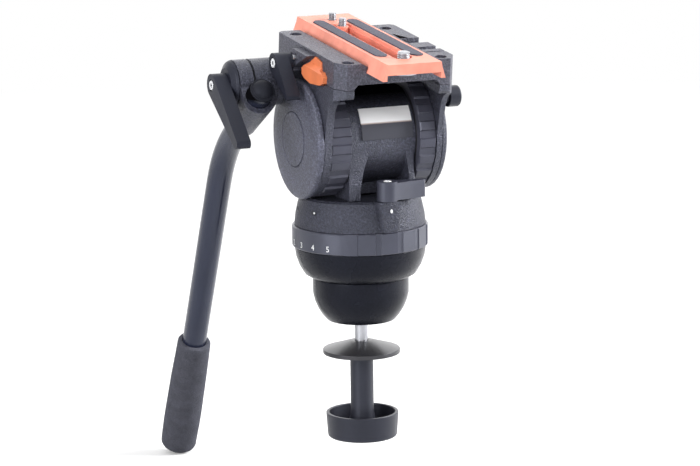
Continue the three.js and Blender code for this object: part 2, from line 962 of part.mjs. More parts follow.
// Coil of the counterbalance round the axle
class CoilPath extends THREE.Curve {
  getPoint(t, target = new THREE.Vector3()) {
    const x0 = rightRingIn + drumFloor + gap + springWire;
    const x1 = rightRingOut - gap - springWire;
    const angle = t * springTurns * Math.PI * 2;
    return target.set(
      x0 + (x1 - x0) * t,
      springR * Math.cos(angle),
      axisZ + springR * Math.sin(angle),
    );
  }
}

function roundShape(radius, sides) {
  const points = [];
  for (let i = 0; i < sides; i += 1) {
    const angle = (i * Math.PI * 2) / sides;
    points.push([radius * Math.cos(angle), radius * Math.sin(angle)]);
  }
  return points;
}

function counterbalanceSpring() {
  const shape = outline(roundShape(springWire, springSides));
  const options = { steps: springSteps, extrudePath: new CoilPath(), bevelEnabled: false };
  return new THREE.ExtrudeGeometry(shape, options);
}

function tiltAxle() {
  return rodX(axleR, axleLeft, axleRight, 0, axisZ, medium);
}

// Outline of the deck seen from above, with bevelled front corners
function deckOutline() {
  return outline([
    [-deckHalf, deckRear - deckRearBevel],
    [-deckHalf, deckFront + deckBevelY],
    [-deckHalf + deckBevelX, deckFront],
    [rightCheekOut - deckBevelX, deckFront],
    [rightCheekOut, deckFront + deckBevelY],
    [rightCheekOut, deckRear - deckRearBevel],
    [rightCheekOut - deckRearBevel, deckRear],
    [-deckHalf + deckRearBevel, deckRear],
  ]);
}

function catchOutline() {
  return catchSide.map(([y, drop]) => [y, deckTop - drop]);
}

// The catch outline, grown all round for its opening
function catchOpening() {
  const side = catchOutline();
  const middle = [0, 0];
  for (const point of side) {
    middle[0] += point[0] / side.length;
    middle[1] += point[1] / side.length;
  }
  const grown = side.map((point) => [
    middle[0] + (point[0] - middle[0]) * catchRoomShare,
    middle[1] + (point[1] - middle[1]) * catchRoomShare,
  ]);
  return body(prismX(outline(grown), lockBlockOut - over, catchRoomIn));
}

function screwPlaces() {
  const places = [];
  for (const side of [-1, 1]) {
    for (const y of [screwFrontY, screwRearY]) {
      places.push([side * screwX, y]);
    }
  }
  return places;
}

// Raised block on the left rail that carries the plate lock lever and its stop pin
function lockBlock() {
  const side = lockBlockSide.map(([y, drop]) => [y, deckTop - drop]);
  return body(prismX(outline(side), lockBlockOut, over - deckHalf));
}

function platformDeck() {
  let deck = body(prismZ(deckOutline(), partingZ + gap, deckTop)).add(lockBlock());
  const under = outline([
    [-armInner, partingZ - over],
    [armInner, partingZ - over],
    [armInner, deckUnder - deckFillet],
    [armInner - deckFillet, deckUnder],
    [deckFillet - armInner, deckUnder],
    [-armInner, deckUnder - deckFillet],
  ]);
  deck = deck.subtract(body(prismY(under, deckFront - over, deckRear + over)));
  const channel = outline([
    [-channelFootHalf, channelFloor],
    [channelFootHalf, channelFloor],
    [channelLipHalf, channelLipZ],
    [channelTopHalf, deckTop],
    [channelTopHalf, deckTop + over],
    [-channelTopHalf, deckTop + over],
    [-channelTopHalf, deckTop],
    [-channelLipHalf, channelLipZ],
  ]);
  deck = deck.subtract(body(prismY(channel, deckFront - over, deckRear + over)));
  for (const [x, y] of screwPlaces()) {
    deck = deck.subtract(body(rodZ(screwRoomR, screwHeadLow - gap, deckTop + over, x, y, tiny)));
    deck = deck.subtract(body(rodZ(screwShankR + gap, partingZ, screwHeadLow, x, y, tiny)));
  }
  for (const [y0, y1] of railNotches) {
    const notch = outline([
      [railNotchX, railNotchFloor],
      [rightCheekOut + over, railNotchFloor],
      [rightCheekOut + over, deckTop + over],
      [railNotchX, deckTop + over],
    ]);
    deck = deck.subtract(body(prismY(notch, y0, y1)));
  }
  const jawRoomShape = outline([
    [jawTailOut - jawTravel, jawLow - gap],
    [-channelLipHalf + over, jawLow - gap],
    [-channelLipHalf + over, jawRoofZ],
    [jawTailOut - jawTravel, jawRoofZ],
  ]);
  deck = deck.subtract(body(prismY(jawRoomShape, jawFront - gap, jawRear + gap)));
  const tailRoom = outline([
    [jawTailOut - jawTravel, jawTailLow - gap],
    [jawTailIn + gap, jawTailLow - gap],
    [jawTailIn + gap, jawLow],
    [jawTailOut - jawTravel, jawLow],
  ]);
  const tailFront = plateLockY - jawTailHalf - gap;
  deck = deck.subtract(body(prismY(tailRoom, tailFront, plateLockY + jawTailHalf + gap)));
  const shaftEnd = plateLockShaftIn + gap;
  const shaft = rodX(plateLockShaftR + gap, lockBlockOut - over, shaftEnd, plateLockY, plateLockZ);
  deck = deck.subtract(body(shaft));
  const pin = rodX(pinR + gap, lockBlockOut - over, pinIn + gap, pinY, pinZ, tiny);
  deck = deck.subtract(body(pin));
  return deck.subtract(catchOpening());
}

function deckScrew(x, y) {
  const head = body(rodZ(screwHeadR, screwHeadLow, screwHeadTop, x, y, tiny));
  const shank = body(rodZ(screwShankR, screwEnd, screwHeadLow + gap, x, y, tiny));
  const socket = rodZ(socketR, screwHeadTop - socketDepth, screwHeadTop + over, x, y, hexagon);
  return head.add(shank).subtract(body(socket));
}

// Side arm: a shelf under the deck edge and a web that runs down into a round cheek
function sideArm(side, cheekIn, cheekOut) {
  const nose = [[deckFront, partingZ - noseDrop[0]], [deckFront + noseSlant, partingZ - noseDrop[1]]];
  const low = nose[1][1];
  const shelf = outline([
    [deckFront, partingZ],
    ...nose,
    [-blockEnd, low],
    [-shelfEnd, partingZ - shelfThick],
    [shelfEnd, partingZ - shelfThick],
    [blockEnd, low],
    [deckRear, low],
    [deckRear, partingZ],
  ]);
  const shelfIn = side * armInner;
  const shelfOut = side * deckHalf;
  const hang = ([y, drop]) => [y, partingZ - drop];
  const web = [[deckFront, partingZ], ...nose, ...webFront.map(hang)];
  const first = hang(webFront[webFront.length - 1]);
  const last = hang(webRear[0]);
  const from = Math.atan2(first[1] - axisZ, first[0]);
  const to = Math.atan2(last[1] - axisZ, last[0]) + Math.PI * 2;
  for (let i = 1; i < cheekSteps; i += 1) {
    const angle = from + ((to - from) * i) / cheekSteps;
    web.push([cheekR * Math.cos(angle), axisZ + cheekR * Math.sin(angle)]);
  }
  web.push(...webRear.map(hang), [deckRear, partingZ]);
  const frame = body(prismZ(deckOutline(), knobFoot, deckTop));
  const wide = side > 0 ? body(rodX(cheekR + over, cheekIn, cheekOut, 0, axisZ, fine)) : null;
  const cheek = body(prismX(outline(web), Math.min(cheekIn, cheekOut), Math.max(cheekIn, cheekOut)));
  let room = frame;
  if (wide) {
    room = frame.add(wide);
  }
  let arm = body(prismX(shelf, Math.min(shelfIn, shelfOut), Math.max(shelfIn, shelfOut)));
  arm = arm.add(cheek).intersect(room);
  const ends = [cheekIn - side * over, cheekOut + side * over];
  arm = arm.subtract(body(rodX(axleR + gap, ends[0], ends[1], 0, axisZ, medium)));
  for (const [x, y] of screwPlaces()) {
    if (Math.sign(x) === side) {
      arm = arm.subtract(body(rodZ(screwShankR + gap, screwEnd - gap, partingZ + over, x, y, tiny)));
    }
  }
  return arm;
}

function leftArm() {
  let arm = sideArm(-1, leftCheekIn, -deckHalf);
  arm = arm.subtract(catchOpening());
  return arm.subtract(body(rodX(clampBolt + gap, -deckHalf - over, leftCheekIn + over, pivotY, pivotZ)));
}

function rightArm() {
  const arm = sideArm(1, rightCheekIn, rightCheekOut);
  const stem = rodX(tiltLockStemR + slip, tiltLockStemIn - gap, rightCheekOut + over, tiltLockY, tiltLockZ);
  return arm.subtract(body(stem));
}

// Domed side cover with a round seat for the inset plate
function sideCover(baseX, side, radius, height) {
  const at = (rise) => baseX + side * rise;
  const points = [
    [0, at(coverHollow)],
    [coverHollowR, at(coverHollow)],
    [coverHollowR, at(0)],
    [radius, at(0)],
    ...coverDomeShares.map(([r, h]) => [radius * r, at(height * h)]),
    [insetR + gap, at(height - insetSink)],
    [0, at(height - insetSink)],
  ];
  return turnedX(points, fine, 0, axisZ);
}

function insetPlate(baseX, side, height) {
  const x0 = baseX + side * (height - insetSink + gap);
  const x1 = x0 + side * insetThick;
  return rodX(insetR, Math.min(x0, x1), Math.max(x0, x1), 0, axisZ, medium);
}

// Camera plate: dovetail bar with a long stepped slot and two pad grooves
function cameraPlate() {
  const half = [
    [plateFootHalf - plateFootWall, plateCeiling],
    [plateFootHalf - plateFootWall, plateFootZ],
    [plateFootHalf, plateFootZ],
    [plateShoulderHalf, plateTop - plateShoulder],
    [plateTopHalf, plateTop],
  ];
  const other = half.slice().reverse().map((point) => [-point[0], point[1]]);
  let plate = body(prismY(outline([...half, ...other]), plateFront, plateRear));
  const slot = longHole(slotHalf, slotFront, slotRear);
  const ledge = longHole(ledgeHalf, slotFront, slotRear);
  plate = plate.subtract(body(prismZ(slot, plateCeiling - over, plateTop + over)));
  plate = plate.subtract(body(prismZ(ledge, plateTop - ledgeDepth, plateTop + over)));
  plate = plate.subtract(body(rodZ(holeR, plateCeiling - over, plateTop + over, 0, holeY)));
  plate = plate.subtract(body(prismZ(padOutline(-padX, padLeft, gap), padBottom - gap, plateTop + over)));
  return plate.subtract(body(prismZ(padOutline(padX, padRight, gap), padBottom - gap, plateTop + over)));
}

// Slot outline with round ends
function longHole(half, front, rear) {
  const shape = new THREE.Shape();
  shape.absarc(0, rear - half, half, 0, Math.PI, false);
  shape.absarc(0, front + half, half, Math.PI, Math.PI * 2, false);
  shape.closePath();
  return shape;
}

// Pad outline with bevelled ends, grown by a margin
function padOutline(x, span, margin) {
  const half = padHalf + margin;
  const [front, rear] = [span[0] - margin, span[1] + margin];
  return outline([
    [x - half, front + padPoint],
    [x - half + endRound, front],
    [x + half - endRound, front],
    [x + half, front + padPoint],
    [x + half, rear - padPoint],
    [x + half - endRound, rear],
    [x - half + endRound, rear],
    [x - half, rear - padPoint],
  ]);
}

// Camera screw: slotted head in the recess below, threaded end above the plate
function cameraScrew(y, radius, headR, top) {
  const points = [
    [0, headLow],
    [headR, headLow],
    [headR, headHigh],
    [radius, headHigh],
    [radius, top - threadChamfer],
    [radius - threadChamfer, top],
    [0, top],
  ];
  const screw = body(turnedZ(points, small).translate(0, y, 0));
  const slot = outline([
    [-headR - over, headLow - over],
    [headR + over, headLow - over],
    [headR + over, headLow + headSlotDepth],
    [-headR - over, headLow + headSlotDepth],
  ]);
  return screw.subtract(body(prismY(slot, y - headSlotHalf, y + headSlotHalf)));
}

function plateLockLever() {
  const place = [plateLockY, plateLockZ];
  const tip = [plateLockY - plateLockReach[0], plateLockZ - plateLockReach[1]];
  const hub = body(turnedX([
    [0, plateLockOut + endScrewDepth],
    [endScrewR + gap, plateLockOut + endScrewDepth],
    [endScrewR + gap, plateLockOut],
    [plateLockHubR, plateLockOut],
    [plateLockHubR, plateLockHubIn],
    [plateLockShaftR, plateLockHubIn],
    [plateLockShaftR, plateLockShaftIn],
    [0, plateLockShaftIn],
  ], small, plateLockY, plateLockZ));
  const arm = body(prismX(
    taperedBar(place, plateLockHubR, tip, plateLockTipR),
    plateLockOut,
    plateLockArmIn,
  ));
  const room = body(rodX(endScrewR + gap, plateLockOut - over, plateLockOut + endScrewDepth, ...place));
  return hub.add(arm).subtract(room);
}

function endScrew(outX, y, z) {
  return rodX(endScrewR, outX - gap, outX + endScrewDepth - gap, y, z);
}

function stopPin() {
  return rodX(pinR, pinOut, pinIn, pinY, pinZ, tiny);
}

// Clamping jaw in the left rail, level with the flank of the camera plate
function plateJaw() {
  const lean = (plateFootHalf - plateShoulderHalf) / (plateTop - plateShoulder - plateFootZ);
  const flank = (z) => (z - plateFootZ) * lean - plateFootHalf - gap;
  const head = body(prismY(outline([
    [jawTailOut, jawLow],
    [flank(jawLow), jawLow],
    [flank(jawHigh), jawHigh],
    [jawTailOut, jawHigh],
  ]), jawFront, jawRear));
  const tail = body(prismY(outline([
    [jawTailOut, jawTailLow],
    [jawTailIn, jawTailLow],
    [jawTailIn, jawLow + over],
    [jawTailOut, jawLow + over],
  ]), plateLockY - jawTailHalf, plateLockY + jawTailHalf));
  return head.add(tail);
}

// Push button of the catch: its lower half stands out as a ledge for the finger
function safetyCatch() {
  const block = body(prismX(outline(catchOutline()), catchOut, catchIn));
  const low = deckTop - catchSide[catchLowest][1] - over;
  const section = outline([
    [catchIn, low],
    [catchOut + catchFace, low],
    [catchOut, deckTop - catchBreak[1]],
    [-deckHalf - catchFace, deckTop - catchBreak[0]],
    [-deckHalf - catchFace, deckTop],
    [catchIn, deckTop],
  ]);
  return block.intersect(body(prismY(section, deckFront, deckRear)));
}

// Bracket of the handle, hollowed where the round side cover passes it
function handleBracket() {
  const block = body(rodX(clampR, bracketOut, -deckHalf - gap, pivotY, pivotZ, medium));
  const pass = body(rodX(bracketClear, bracketFace, over - deckHalf, 0, axisZ, fine));
  const hole = body(rodX(clampBolt + gap, bracketOut - over, over - deckHalf, pivotY, pivotZ));
  return block.subtract(pass).subtract(hole);
}

// Direction of the handle tube where it passes the clamp
function tubeWay() {
  const dy = tubeBendIn[0] - tubeStart[0];
  const dz = tubeBendIn[1] - tubeStart[1];
  const reach = Math.hypot(dy, dz);
  return [dy / reach, dz / reach];
}

// Moves a part turned about Z so that its axis follows the tube from the tube's start
function alongTube(geometry) {
  const [dy, dz] = tubeWay();
  const turn = new THREE.Quaternion().setFromUnitVectors(
    new THREE.Vector3(0, 0, 1),
    new THREE.Vector3(0, dy, dz),
  );
  return geometry.applyQuaternion(turn).translate(tubeX, tubeStart[0], pivotZ + tubeStart[1]);
}

// Split clamp: the barrel round the bolt and the sleeve round the tube, cut open between them
function handleClamp() {
  const barrel = body(rodX(clampR, clampOut, clampIn, pivotY, pivotZ, medium));
  const sleeveEnd = sleeveStart + sleeveLong;
  const sleevePoints = [[0, sleeveStart], [sleeveR, sleeveStart], [sleeveEndR, sleeveEnd], [0, sleeveEnd]];
  const span = body(rodX(clampR + sleeveEnd, clampOut, clampIn, pivotY, pivotZ));
  const sleeve = body(alongTube(turnedZ(sleevePoints, medium))).intersect(span);
  const holePoints = [
    [0, sleeveStart - sleeveR],
    [tubeR + gap, sleeveStart - sleeveR],
    [tubeR + gap, sleeveEnd + clampR + sleeveR],
    [0, sleeveEnd + clampR + sleeveR],
  ];
  const hole = body(alongTube(turnedZ(holePoints, medium)));
  const bolt = body(rodX(clampBolt + gap, clampOut - over, clampIn + over, pivotY, pivotZ));
  const [dy, dz] = tubeWay();
  const back = sleeveR + clampR;
  const ahead = sleeveEnd + clampR;
  const [y, z] = [tubeStart[0], pivotZ + tubeStart[1]];
  const slit = outline([
    [y - dy * back, z - dz * back],
    [y + dy * ahead, z + dz * ahead],
    [y + dy * ahead - dz * ahead, z + dz * ahead + dy * ahead],
    [y - dy * back - dz * ahead, z - dz * back + dy * ahead],
  ]);
  const cut = body(prismX(slit, tubeX - slitHalf, tubeX + slitHalf));
  return barrel.add(sleeve).subtract(hole).subtract(bolt).subtract(cut);
}

function clampCollar() {
  const points = [
    [clampBolt + gap, collarOut],
    [collarEndR, collarOut],
    [clampR * collarMidShares[0], clampOut - gap - collarLong * collarMidShares[1]],
    [clampR, clampOut - gap],
    [clampBolt + gap, clampOut - gap],
  ];
  return turnedX(points, medium, pivotY, pivotZ);
}

function clampBoltRod() {
  return rodX(clampBolt, boltOut, boltIn, pivotY, pivotZ);
}

function clampLever() {
  const tip = [pivotY - leverReach[0], pivotZ - leverReach[1]];
  const arm = taperedBar([pivotY, pivotZ], leverHubR, tip, leverTipR);
  const blade = body(prismX(arm, leverOut, leverIn));
  const room = body(rodX(endScrewR + gap, leverOut - over, leverOut + endScrewDepth, pivotY, pivotZ));
  const hole = body(rodX(clampBolt + gap, boltOut - gap, leverIn + over, pivotY, pivotZ));
  return blade.subtract(room).subtract(hole);
}

// Centre line of the bent tube, with a step at each corner of the bend
class TubePath extends THREE.Curve {
  constructor() {
    super();
    const point = (pair) => new THREE.Vector3(tubeX, pair[0], pivotZ + pair[1]);
    const [dy, dz] = tubeWay();
    const far = [
      gripTop[0] + (gripEnd[0] - gripTop[0]) * tubeStopShare,
      gripTop[1] + (gripEnd[1] - gripTop[1]) * tubeStopShare,
    ];
    const down = new THREE.Vector2(gripTop[0] - tubeBendOut[0], gripTop[1] - tubeBendOut[1]).normalize();
    const bend = new THREE.CubicBezierCurve3(
      point(tubeBendIn),
      point([tubeBendIn[0] + dy * bendPull, tubeBendIn[1] + dz * bendPull]),
      point([tubeBendOut[0] - down.x * bendPull, tubeBendOut[1] - down.y * bendPull]),
      point(tubeBendOut),
    );
    this.stops = [point(tubeStart), ...bend.getPoints(bendSteps), point(gripTop), point(far)];
  }

  getPoint(t, target = new THREE.Vector3()) {
    const last = this.stops.length - 1;
    const index = Math.min(Math.floor(t * last), last - 1);
    return target.lerpVectors(this.stops[index], this.stops[index + 1], t * last - index);
  }

  getPointAt(u, target) {
    return this.getPoint(u, target);
  }

  getTangentAt(u, target) {
    return this.getTangent(u, target);
  }
}

function handleTube() {
  const shape = outline(roundShape(tubeR, tubeSides));
  const inner = roundShape(tubeR - tubeWall, tubeSides / 2);
  shape.holes.push(new THREE.Path(inner.map((point) => new THREE.Vector2(point[0], point[1]))));
  const path = new TubePath();
  const options = { steps: path.stops.length - 1, extrudePath: path, bevelEnabled: false };
  return new THREE.ExtrudeGeometry(shape, options);
}

// Domed plug in the upper end of the tube
function endCap() {
  const points = [
    [0, capPlug],
    [capPlugR, capPlug],
    [capPlugR, -gap],
    [tubeR, -gap],
    [tubeR, -gap - capRim],
    [capR, -gap - capRim],
  ];
  for (let i = 1; i <= capSteps; i += 1) {
    const angle = (i * Math.PI) / 2 / capSteps;
    const r = i === capSteps ? 0 : capR * Math.cos(angle);
    points.push([r, -gap - capRim - capDome * Math.sin(angle)]);
  }
  return alongTube(turnedZ(points, small));
}

function foamGrip() {
  const dy = gripEnd[0] - gripTop[0];
  const dz = gripEnd[1] - gripTop[1];
  const reach = Math.hypot(dy, dz);
  const points = [
    [gripBoreR, 0],
    [gripTopR - over, 0],
    [gripTopR, over],
    [gripEndR, reach - gripRound - gripShoulder],
  ];
  for (let i = 1; i <= gripRoundSteps; i += 1) {
    const angle = (i * Math.PI) / 2 / gripRoundSteps;
    points.push([
      gripEndR - gripRound * (1 - Math.cos(angle)),
      reach - gripRound * (1 - Math.sin(angle)),
    ]);
  }
  points.push([0, reach], [0, reach * tubeStopShare + gap], [gripBoreR, reach * tubeStopShare + gap]);
  const loop = points.map((point) => new THREE.Vector2(point[0], point[1]));
  loop.push(loop[0].clone());
  const geometry = new THREE.LatheGeometry(loop, medium).rotateX(Math.PI / 2);
  const turn = new THREE.Quaternion().setFromUnitVectors(
    new THREE.Vector3(0, 0, 1),
    new THREE.Vector3(0, dy / reach, dz / reach),
  );
  return geometry.applyQuaternion(turn).translate(tubeX, gripTop[0], pivotZ + gripTop[1]);
}

function tiltLockKnob() {
  const points = [
    [0, tiltLockStemIn],
    [tiltLockStemR, tiltLockStemIn],
    [tiltLockStemR, tiltLockIn],
    [tiltLockNeckR, tiltLockIn],
    [tiltLockNeckR, tiltLockHead],
    [tiltLockR, tiltLockHead],
    [tiltLockR, tiltLockOut - tiltLockEdge],
    [tiltLockR - tiltLockEdge, tiltLockOut],
    [0, tiltLockOut],
  ];
  return turnedX(points, small, tiltLockY, tiltLockZ);
}

// Assembly: fixed base
add('half_ball', halfBall(), darkSteel);
add('tie_down_stud', tieDownStud(), steel);
add('clamp_washer', clampWasher(), darkSteel);
add('tie_down_knob', tieDownKnob(), knobPlastic);
add('lower_housing', lowerHousing(), casting);
add('pan_spindle', panSpindle(), steel);
add('pan_fluid_cartridge', panCartridge(), bronze);

// Assembly: turning head
add('pan_drag_ring', panDragRing(), ringPaint);
add('pan_dome', panDome(), casting);
add('pan_bearing', panBearing(), steel);
add('pan_drag_drum', panDragDrum(), bronze);
add('pan_lock_lever', panLockLever(), leverPaint);
add('pan_lock_screw', panLockScrew(), steel);
add('tilt_housing', tiltHousing(), casting);
add('name_plate', namePlate(), labelPlate);
add('tilt_bearing_left', tiltBearing(barrelLeft + gap, barrelLeft + gap + bearingWall), steel);
add('tilt_bearing_right', tiltBearing(barrelRight - gap - bearingWall, barrelRight - gap), steel);
add('tilt_fluid_cartridge', tiltCartridge(), bronze);
add('tilt_drag_ring', tiltRing(leftRingOut, leftRingIn), ringPaint);
add('counterbalance_ring', tiltRing(rightRingIn, rightRingOut), ringPaint);
add('tilt_drag_drum', ringDrum(leftRingIn + gap, leftRingOut + gap), darkSteel);
add('counterbalance_drum', ringDrum(rightRingIn, rightRingOut - gap), darkSteel);
add('tilt_drag_discs', tiltDragDiscs(), bronze);
add('counterbalance_spring', counterbalanceSpring(), steel);

// Assembly: tilting platform
addTilted('tilt_axle', tiltAxle(), steel);
addTilted('platform_deck', platformDeck(), deckPaint);
addTilted('side_arm_left', leftArm(), casting);
addTilted('side_arm_right', rightArm(), casting);
screwPlaces().forEach(([x, y], index) => {
  addTilted(`deck_screw_${index + 1}`, deckScrew(x, y), darkSteel);
});
addTilted('side_cover_left', sideCover(-deckHalf - gap, -1, coverR, coverHeight), casting);
addTilted('side_cover_right', sideCover(rightCheekOut + gap, 1, rightCoverR, rightCoverHeight), casting);
addTilted('inset_plate_left', insetPlate(-deckHalf - gap, -1, coverHeight), leverPaint);
addTilted('inset_plate_right', insetPlate(rightCheekOut + gap, 1, rightCoverHeight), leverPaint);
addTilted('tilt_lock_knob', tiltLockKnob(), knobPlastic);

// Assembly: camera plate and its lock
addTilted('camera_plate', cameraPlate(), orange);
addTilted('plate_pad_left', prismZ(padOutline(-padX, padLeft, 0), padBottom, padTop), padRubber);
addTilted('plate_pad_right', prismZ(padOutline(padX, padRight, 0), padBottom, padTop), padRubber);
const frontScrewTop = plateTop + frontScrewRise;
addTilted('camera_screw_front', cameraScrew(frontScrewY, frontScrewR, frontHeadR, frontScrewTop), steel);
rearScrewY.forEach((y, index) => {
  const top = plateTop + rearScrewRise;
  addTilted(`camera_screw_rear_${index + 1}`, cameraScrew(y, rearScrewR, rearHeadR, top), steel);
});
addTilted('plate_lock_lever', plateLockLever(), leverPaint);
addTilted('plate_lock_screw', endScrew(plateLockOut, plateLockY, plateLockZ), steel);
addTilted('plate_stop_pin', stopPin(), steel);
addTilted('plate_lock_jaw', plateJaw(), darkSteel);
addTilted('safety_catch', safetyCatch(), catchOrange);

// Assembly: pan handle
addTilted('handle_bracket', handleBracket(), casting);
addTilted('handle_clamp', handleClamp(), casting);
addTilted('clamp_collar', clampCollar(), leverPaint);
addTilted('clamp_bolt', clampBoltRod(), steel);
addTilted('clamp_lever', clampLever(), leverPaint);
addTilted('clamp_lever_screw', endScrew(leverOut, pivotY, pivotZ), steel);
addTilted('handle_tube', handleTube(), tubePaint);
addTilted('handle_end_cap', endCap(), knobPlastic);
addTilted('foam_grip', foamGrip(), foam);

export default group;
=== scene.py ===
import bmesh
import bpy
import json
import math
from mathutils import Matrix, Vector


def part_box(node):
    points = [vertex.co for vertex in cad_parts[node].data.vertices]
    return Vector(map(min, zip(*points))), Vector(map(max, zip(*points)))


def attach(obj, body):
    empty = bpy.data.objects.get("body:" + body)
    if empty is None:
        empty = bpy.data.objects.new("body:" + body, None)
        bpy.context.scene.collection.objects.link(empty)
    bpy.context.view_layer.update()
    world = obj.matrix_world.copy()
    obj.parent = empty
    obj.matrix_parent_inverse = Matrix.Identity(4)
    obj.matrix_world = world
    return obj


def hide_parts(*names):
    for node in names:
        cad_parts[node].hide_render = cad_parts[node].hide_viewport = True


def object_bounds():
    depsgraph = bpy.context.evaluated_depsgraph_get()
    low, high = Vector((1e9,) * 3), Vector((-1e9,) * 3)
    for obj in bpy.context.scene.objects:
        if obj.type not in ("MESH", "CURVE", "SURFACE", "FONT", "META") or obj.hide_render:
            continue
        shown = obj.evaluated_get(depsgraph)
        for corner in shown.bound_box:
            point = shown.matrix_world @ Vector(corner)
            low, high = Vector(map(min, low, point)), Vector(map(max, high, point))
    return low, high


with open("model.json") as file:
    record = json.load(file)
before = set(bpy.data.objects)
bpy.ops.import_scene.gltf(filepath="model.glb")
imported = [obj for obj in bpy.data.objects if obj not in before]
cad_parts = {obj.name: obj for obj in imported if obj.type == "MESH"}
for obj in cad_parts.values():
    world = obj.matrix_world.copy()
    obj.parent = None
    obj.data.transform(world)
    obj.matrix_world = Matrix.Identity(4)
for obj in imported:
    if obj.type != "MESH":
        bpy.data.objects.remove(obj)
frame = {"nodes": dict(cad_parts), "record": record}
cad_box = [list(v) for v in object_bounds()]
nodes = frame["nodes"]

# Pieces are drawn in millimetres. Those of the platform are drawn level, and TILT leans them as at rest.
MM = 0.001
TILT_DEG = 6.2
AXIS_Z = 117.1
TILT = (
    Matrix.Translation((0, 0, AXIS_Z * MM))
    @ Matrix.Rotation(math.radians(TILT_DEG), 4, "X")
    @ Matrix.Translation((0, 0, -AXIS_Z * MM))
)
LEVEL = Matrix.Identity(4)


# Shader nodes

# Numbers of the colour sockets on the Mix node, which share their names with other sockets
MIX_A = 6
MIX_B = 7
MIX_RESULT = 2


def feed(tree, value, socket):
    """Link another node's output to a socket, or set it to a plain number or colour."""
    if isinstance(value, bpy.types.NodeSocket):
        tree.links.new(value, socket)
    elif isinstance(value, tuple):
        socket.default_value = (*value, 1)
    else:
        socket.default_value = value


def coords(tree, scale=(1, 1, 1)):
    source = tree.nodes.new("ShaderNodeTexCoord")
    mapping = tree.nodes.new("ShaderNodeMapping")
    mapping.inputs["Scale"].default_value = scale
    tree.links.new(source.outputs["Object"], mapping.inputs["Vector"])
    return mapping.outputs["Vector"]


def noise(tree, vector, scale, detail=3.0, rough=0.55):
    n = tree.nodes.new("ShaderNodeTexNoise")
    n.inputs["Scale"].default_value = scale
    n.inputs["Detail"].default_value = detail
    n.inputs["Roughness"].default_value = rough
    tree.links.new(vector, n.inputs["Vector"])
    return n.outputs["Fac"]


def ramp(tree, fac, stops):
    n = tree.nodes.new("ShaderNodeValToRGB")
    elements = n.color_ramp.elements
    while len(elements) < len(stops):
        elements.new(0.5)
    for element, (position, colour) in zip(elements, stops):
        element.position = position
        element.color = (*colour, 1)
    tree.links.new(fac, n.inputs["Fac"])
    return n.outputs["Color"]


def ranged(tree, value, from_low, from_high, to_low=0.0, to_high=1.0):
    """Map one range of numbers onto another and keep it inside."""
    n = tree.nodes.new("ShaderNodeMapRange")
    n.inputs["From Min"].default_value = from_low
    n.inputs["From Max"].default_value = from_high
    n.inputs["To Min"].default_value = to_low
    n.inputs["To Max"].default_value = to_high
    tree.links.new(value, n.inputs["Value"])
    return n.outputs["Result"]


def spread(tree, fac, low, high):
    """Bring a noise, which keeps near its middle, to a range of its own."""
    return ranged(tree, fac, 0.25, 0.75, low, high)


def mix(tree, fac, a, b, blend="MIX"):
    n = tree.nodes.new("ShaderNodeMix")
    n.data_type = "RGBA"
    n.blend_type = blend
    feed(tree, fac, n.inputs["Factor"])
    feed(tree, a, n.inputs[MIX_A])
    feed(tree, b, n.inputs[MIX_B])
    return n.outputs[MIX_RESULT]


def arithmetic(tree, operation, a, b):
    n = tree.nodes.new("ShaderNodeMath")
    n.operation = operation
    feed(tree, a, n.inputs[0])
    feed(tree, b, n.inputs[1])
    return n.outputs["Value"]


def bump(tree, bsdf, height, strength, depth, before=None):
    """Surface relief on top of an earlier one, with its depth in metres."""
    n = tree.nodes.new("ShaderNodeBump")
    n.inputs["Strength"].default_value = strength
    n.inputs["Distance"].default_value = depth
    tree.links.new(height, n.inputs["Height"])
    if before is not None:
        tree.links.new(before, n.inputs["Normal"])
    tree.links.new(n.outputs["Normal"], bsdf.inputs["Normal"])
    return n.outputs["Normal"]


def edge_mask(tree, radius):
    """White along convex and concave edges, where a rounded and a plain normal differ."""
    rounded = tree.nodes.new("ShaderNodeBevel")
    rounded.samples = 4
    rounded.inputs["Radius"].default_value = radius
    plain = tree.nodes.new("ShaderNodeNewGeometry")
    dot = tree.nodes.new("ShaderNodeVectorMath")
    dot.operation = "DOT_PRODUCT"
    tree.links.new(rounded.outputs["Normal"], dot.inputs[0])
    tree.links.new(plain.outputs["Normal"], dot.inputs[1])
    return ranged(tree, dot.outputs["Value"], 0.98, 0.8)


def height_share(tree, low, high):
    """0 at one height in metres and 1 at another. The nodes' own coordinates are those of the frame."""
    source = tree.nodes.new("ShaderNodeTexCoord")
    parts = tree.nodes.new("ShaderNodeSeparateXYZ")
    tree.links.new(source.outputs["Object"], parts.inputs[0])
    return ranged(tree, parts.outputs["Z"], low, high)


def shades(base, darker, lighter):
    """A colour's darker and lighter neighbours, none of them past white."""
    dark = tuple(c * darker for c in base)
    light = tuple(min(1, c * lighter) for c in base)
    return dark, light


# Finishes

CLOUD_SCALE = 45
# Patch size and width of the lighter edges, which are partly wear and partly painted highlight
WEAR_AND_EDGE_LIGHT_SCALE = 160
WEAR_AND_EDGE_LIGHT_WIDTH = 0.0006
BLACK = (0, 0, 0)
WHITE = (1, 1, 1)


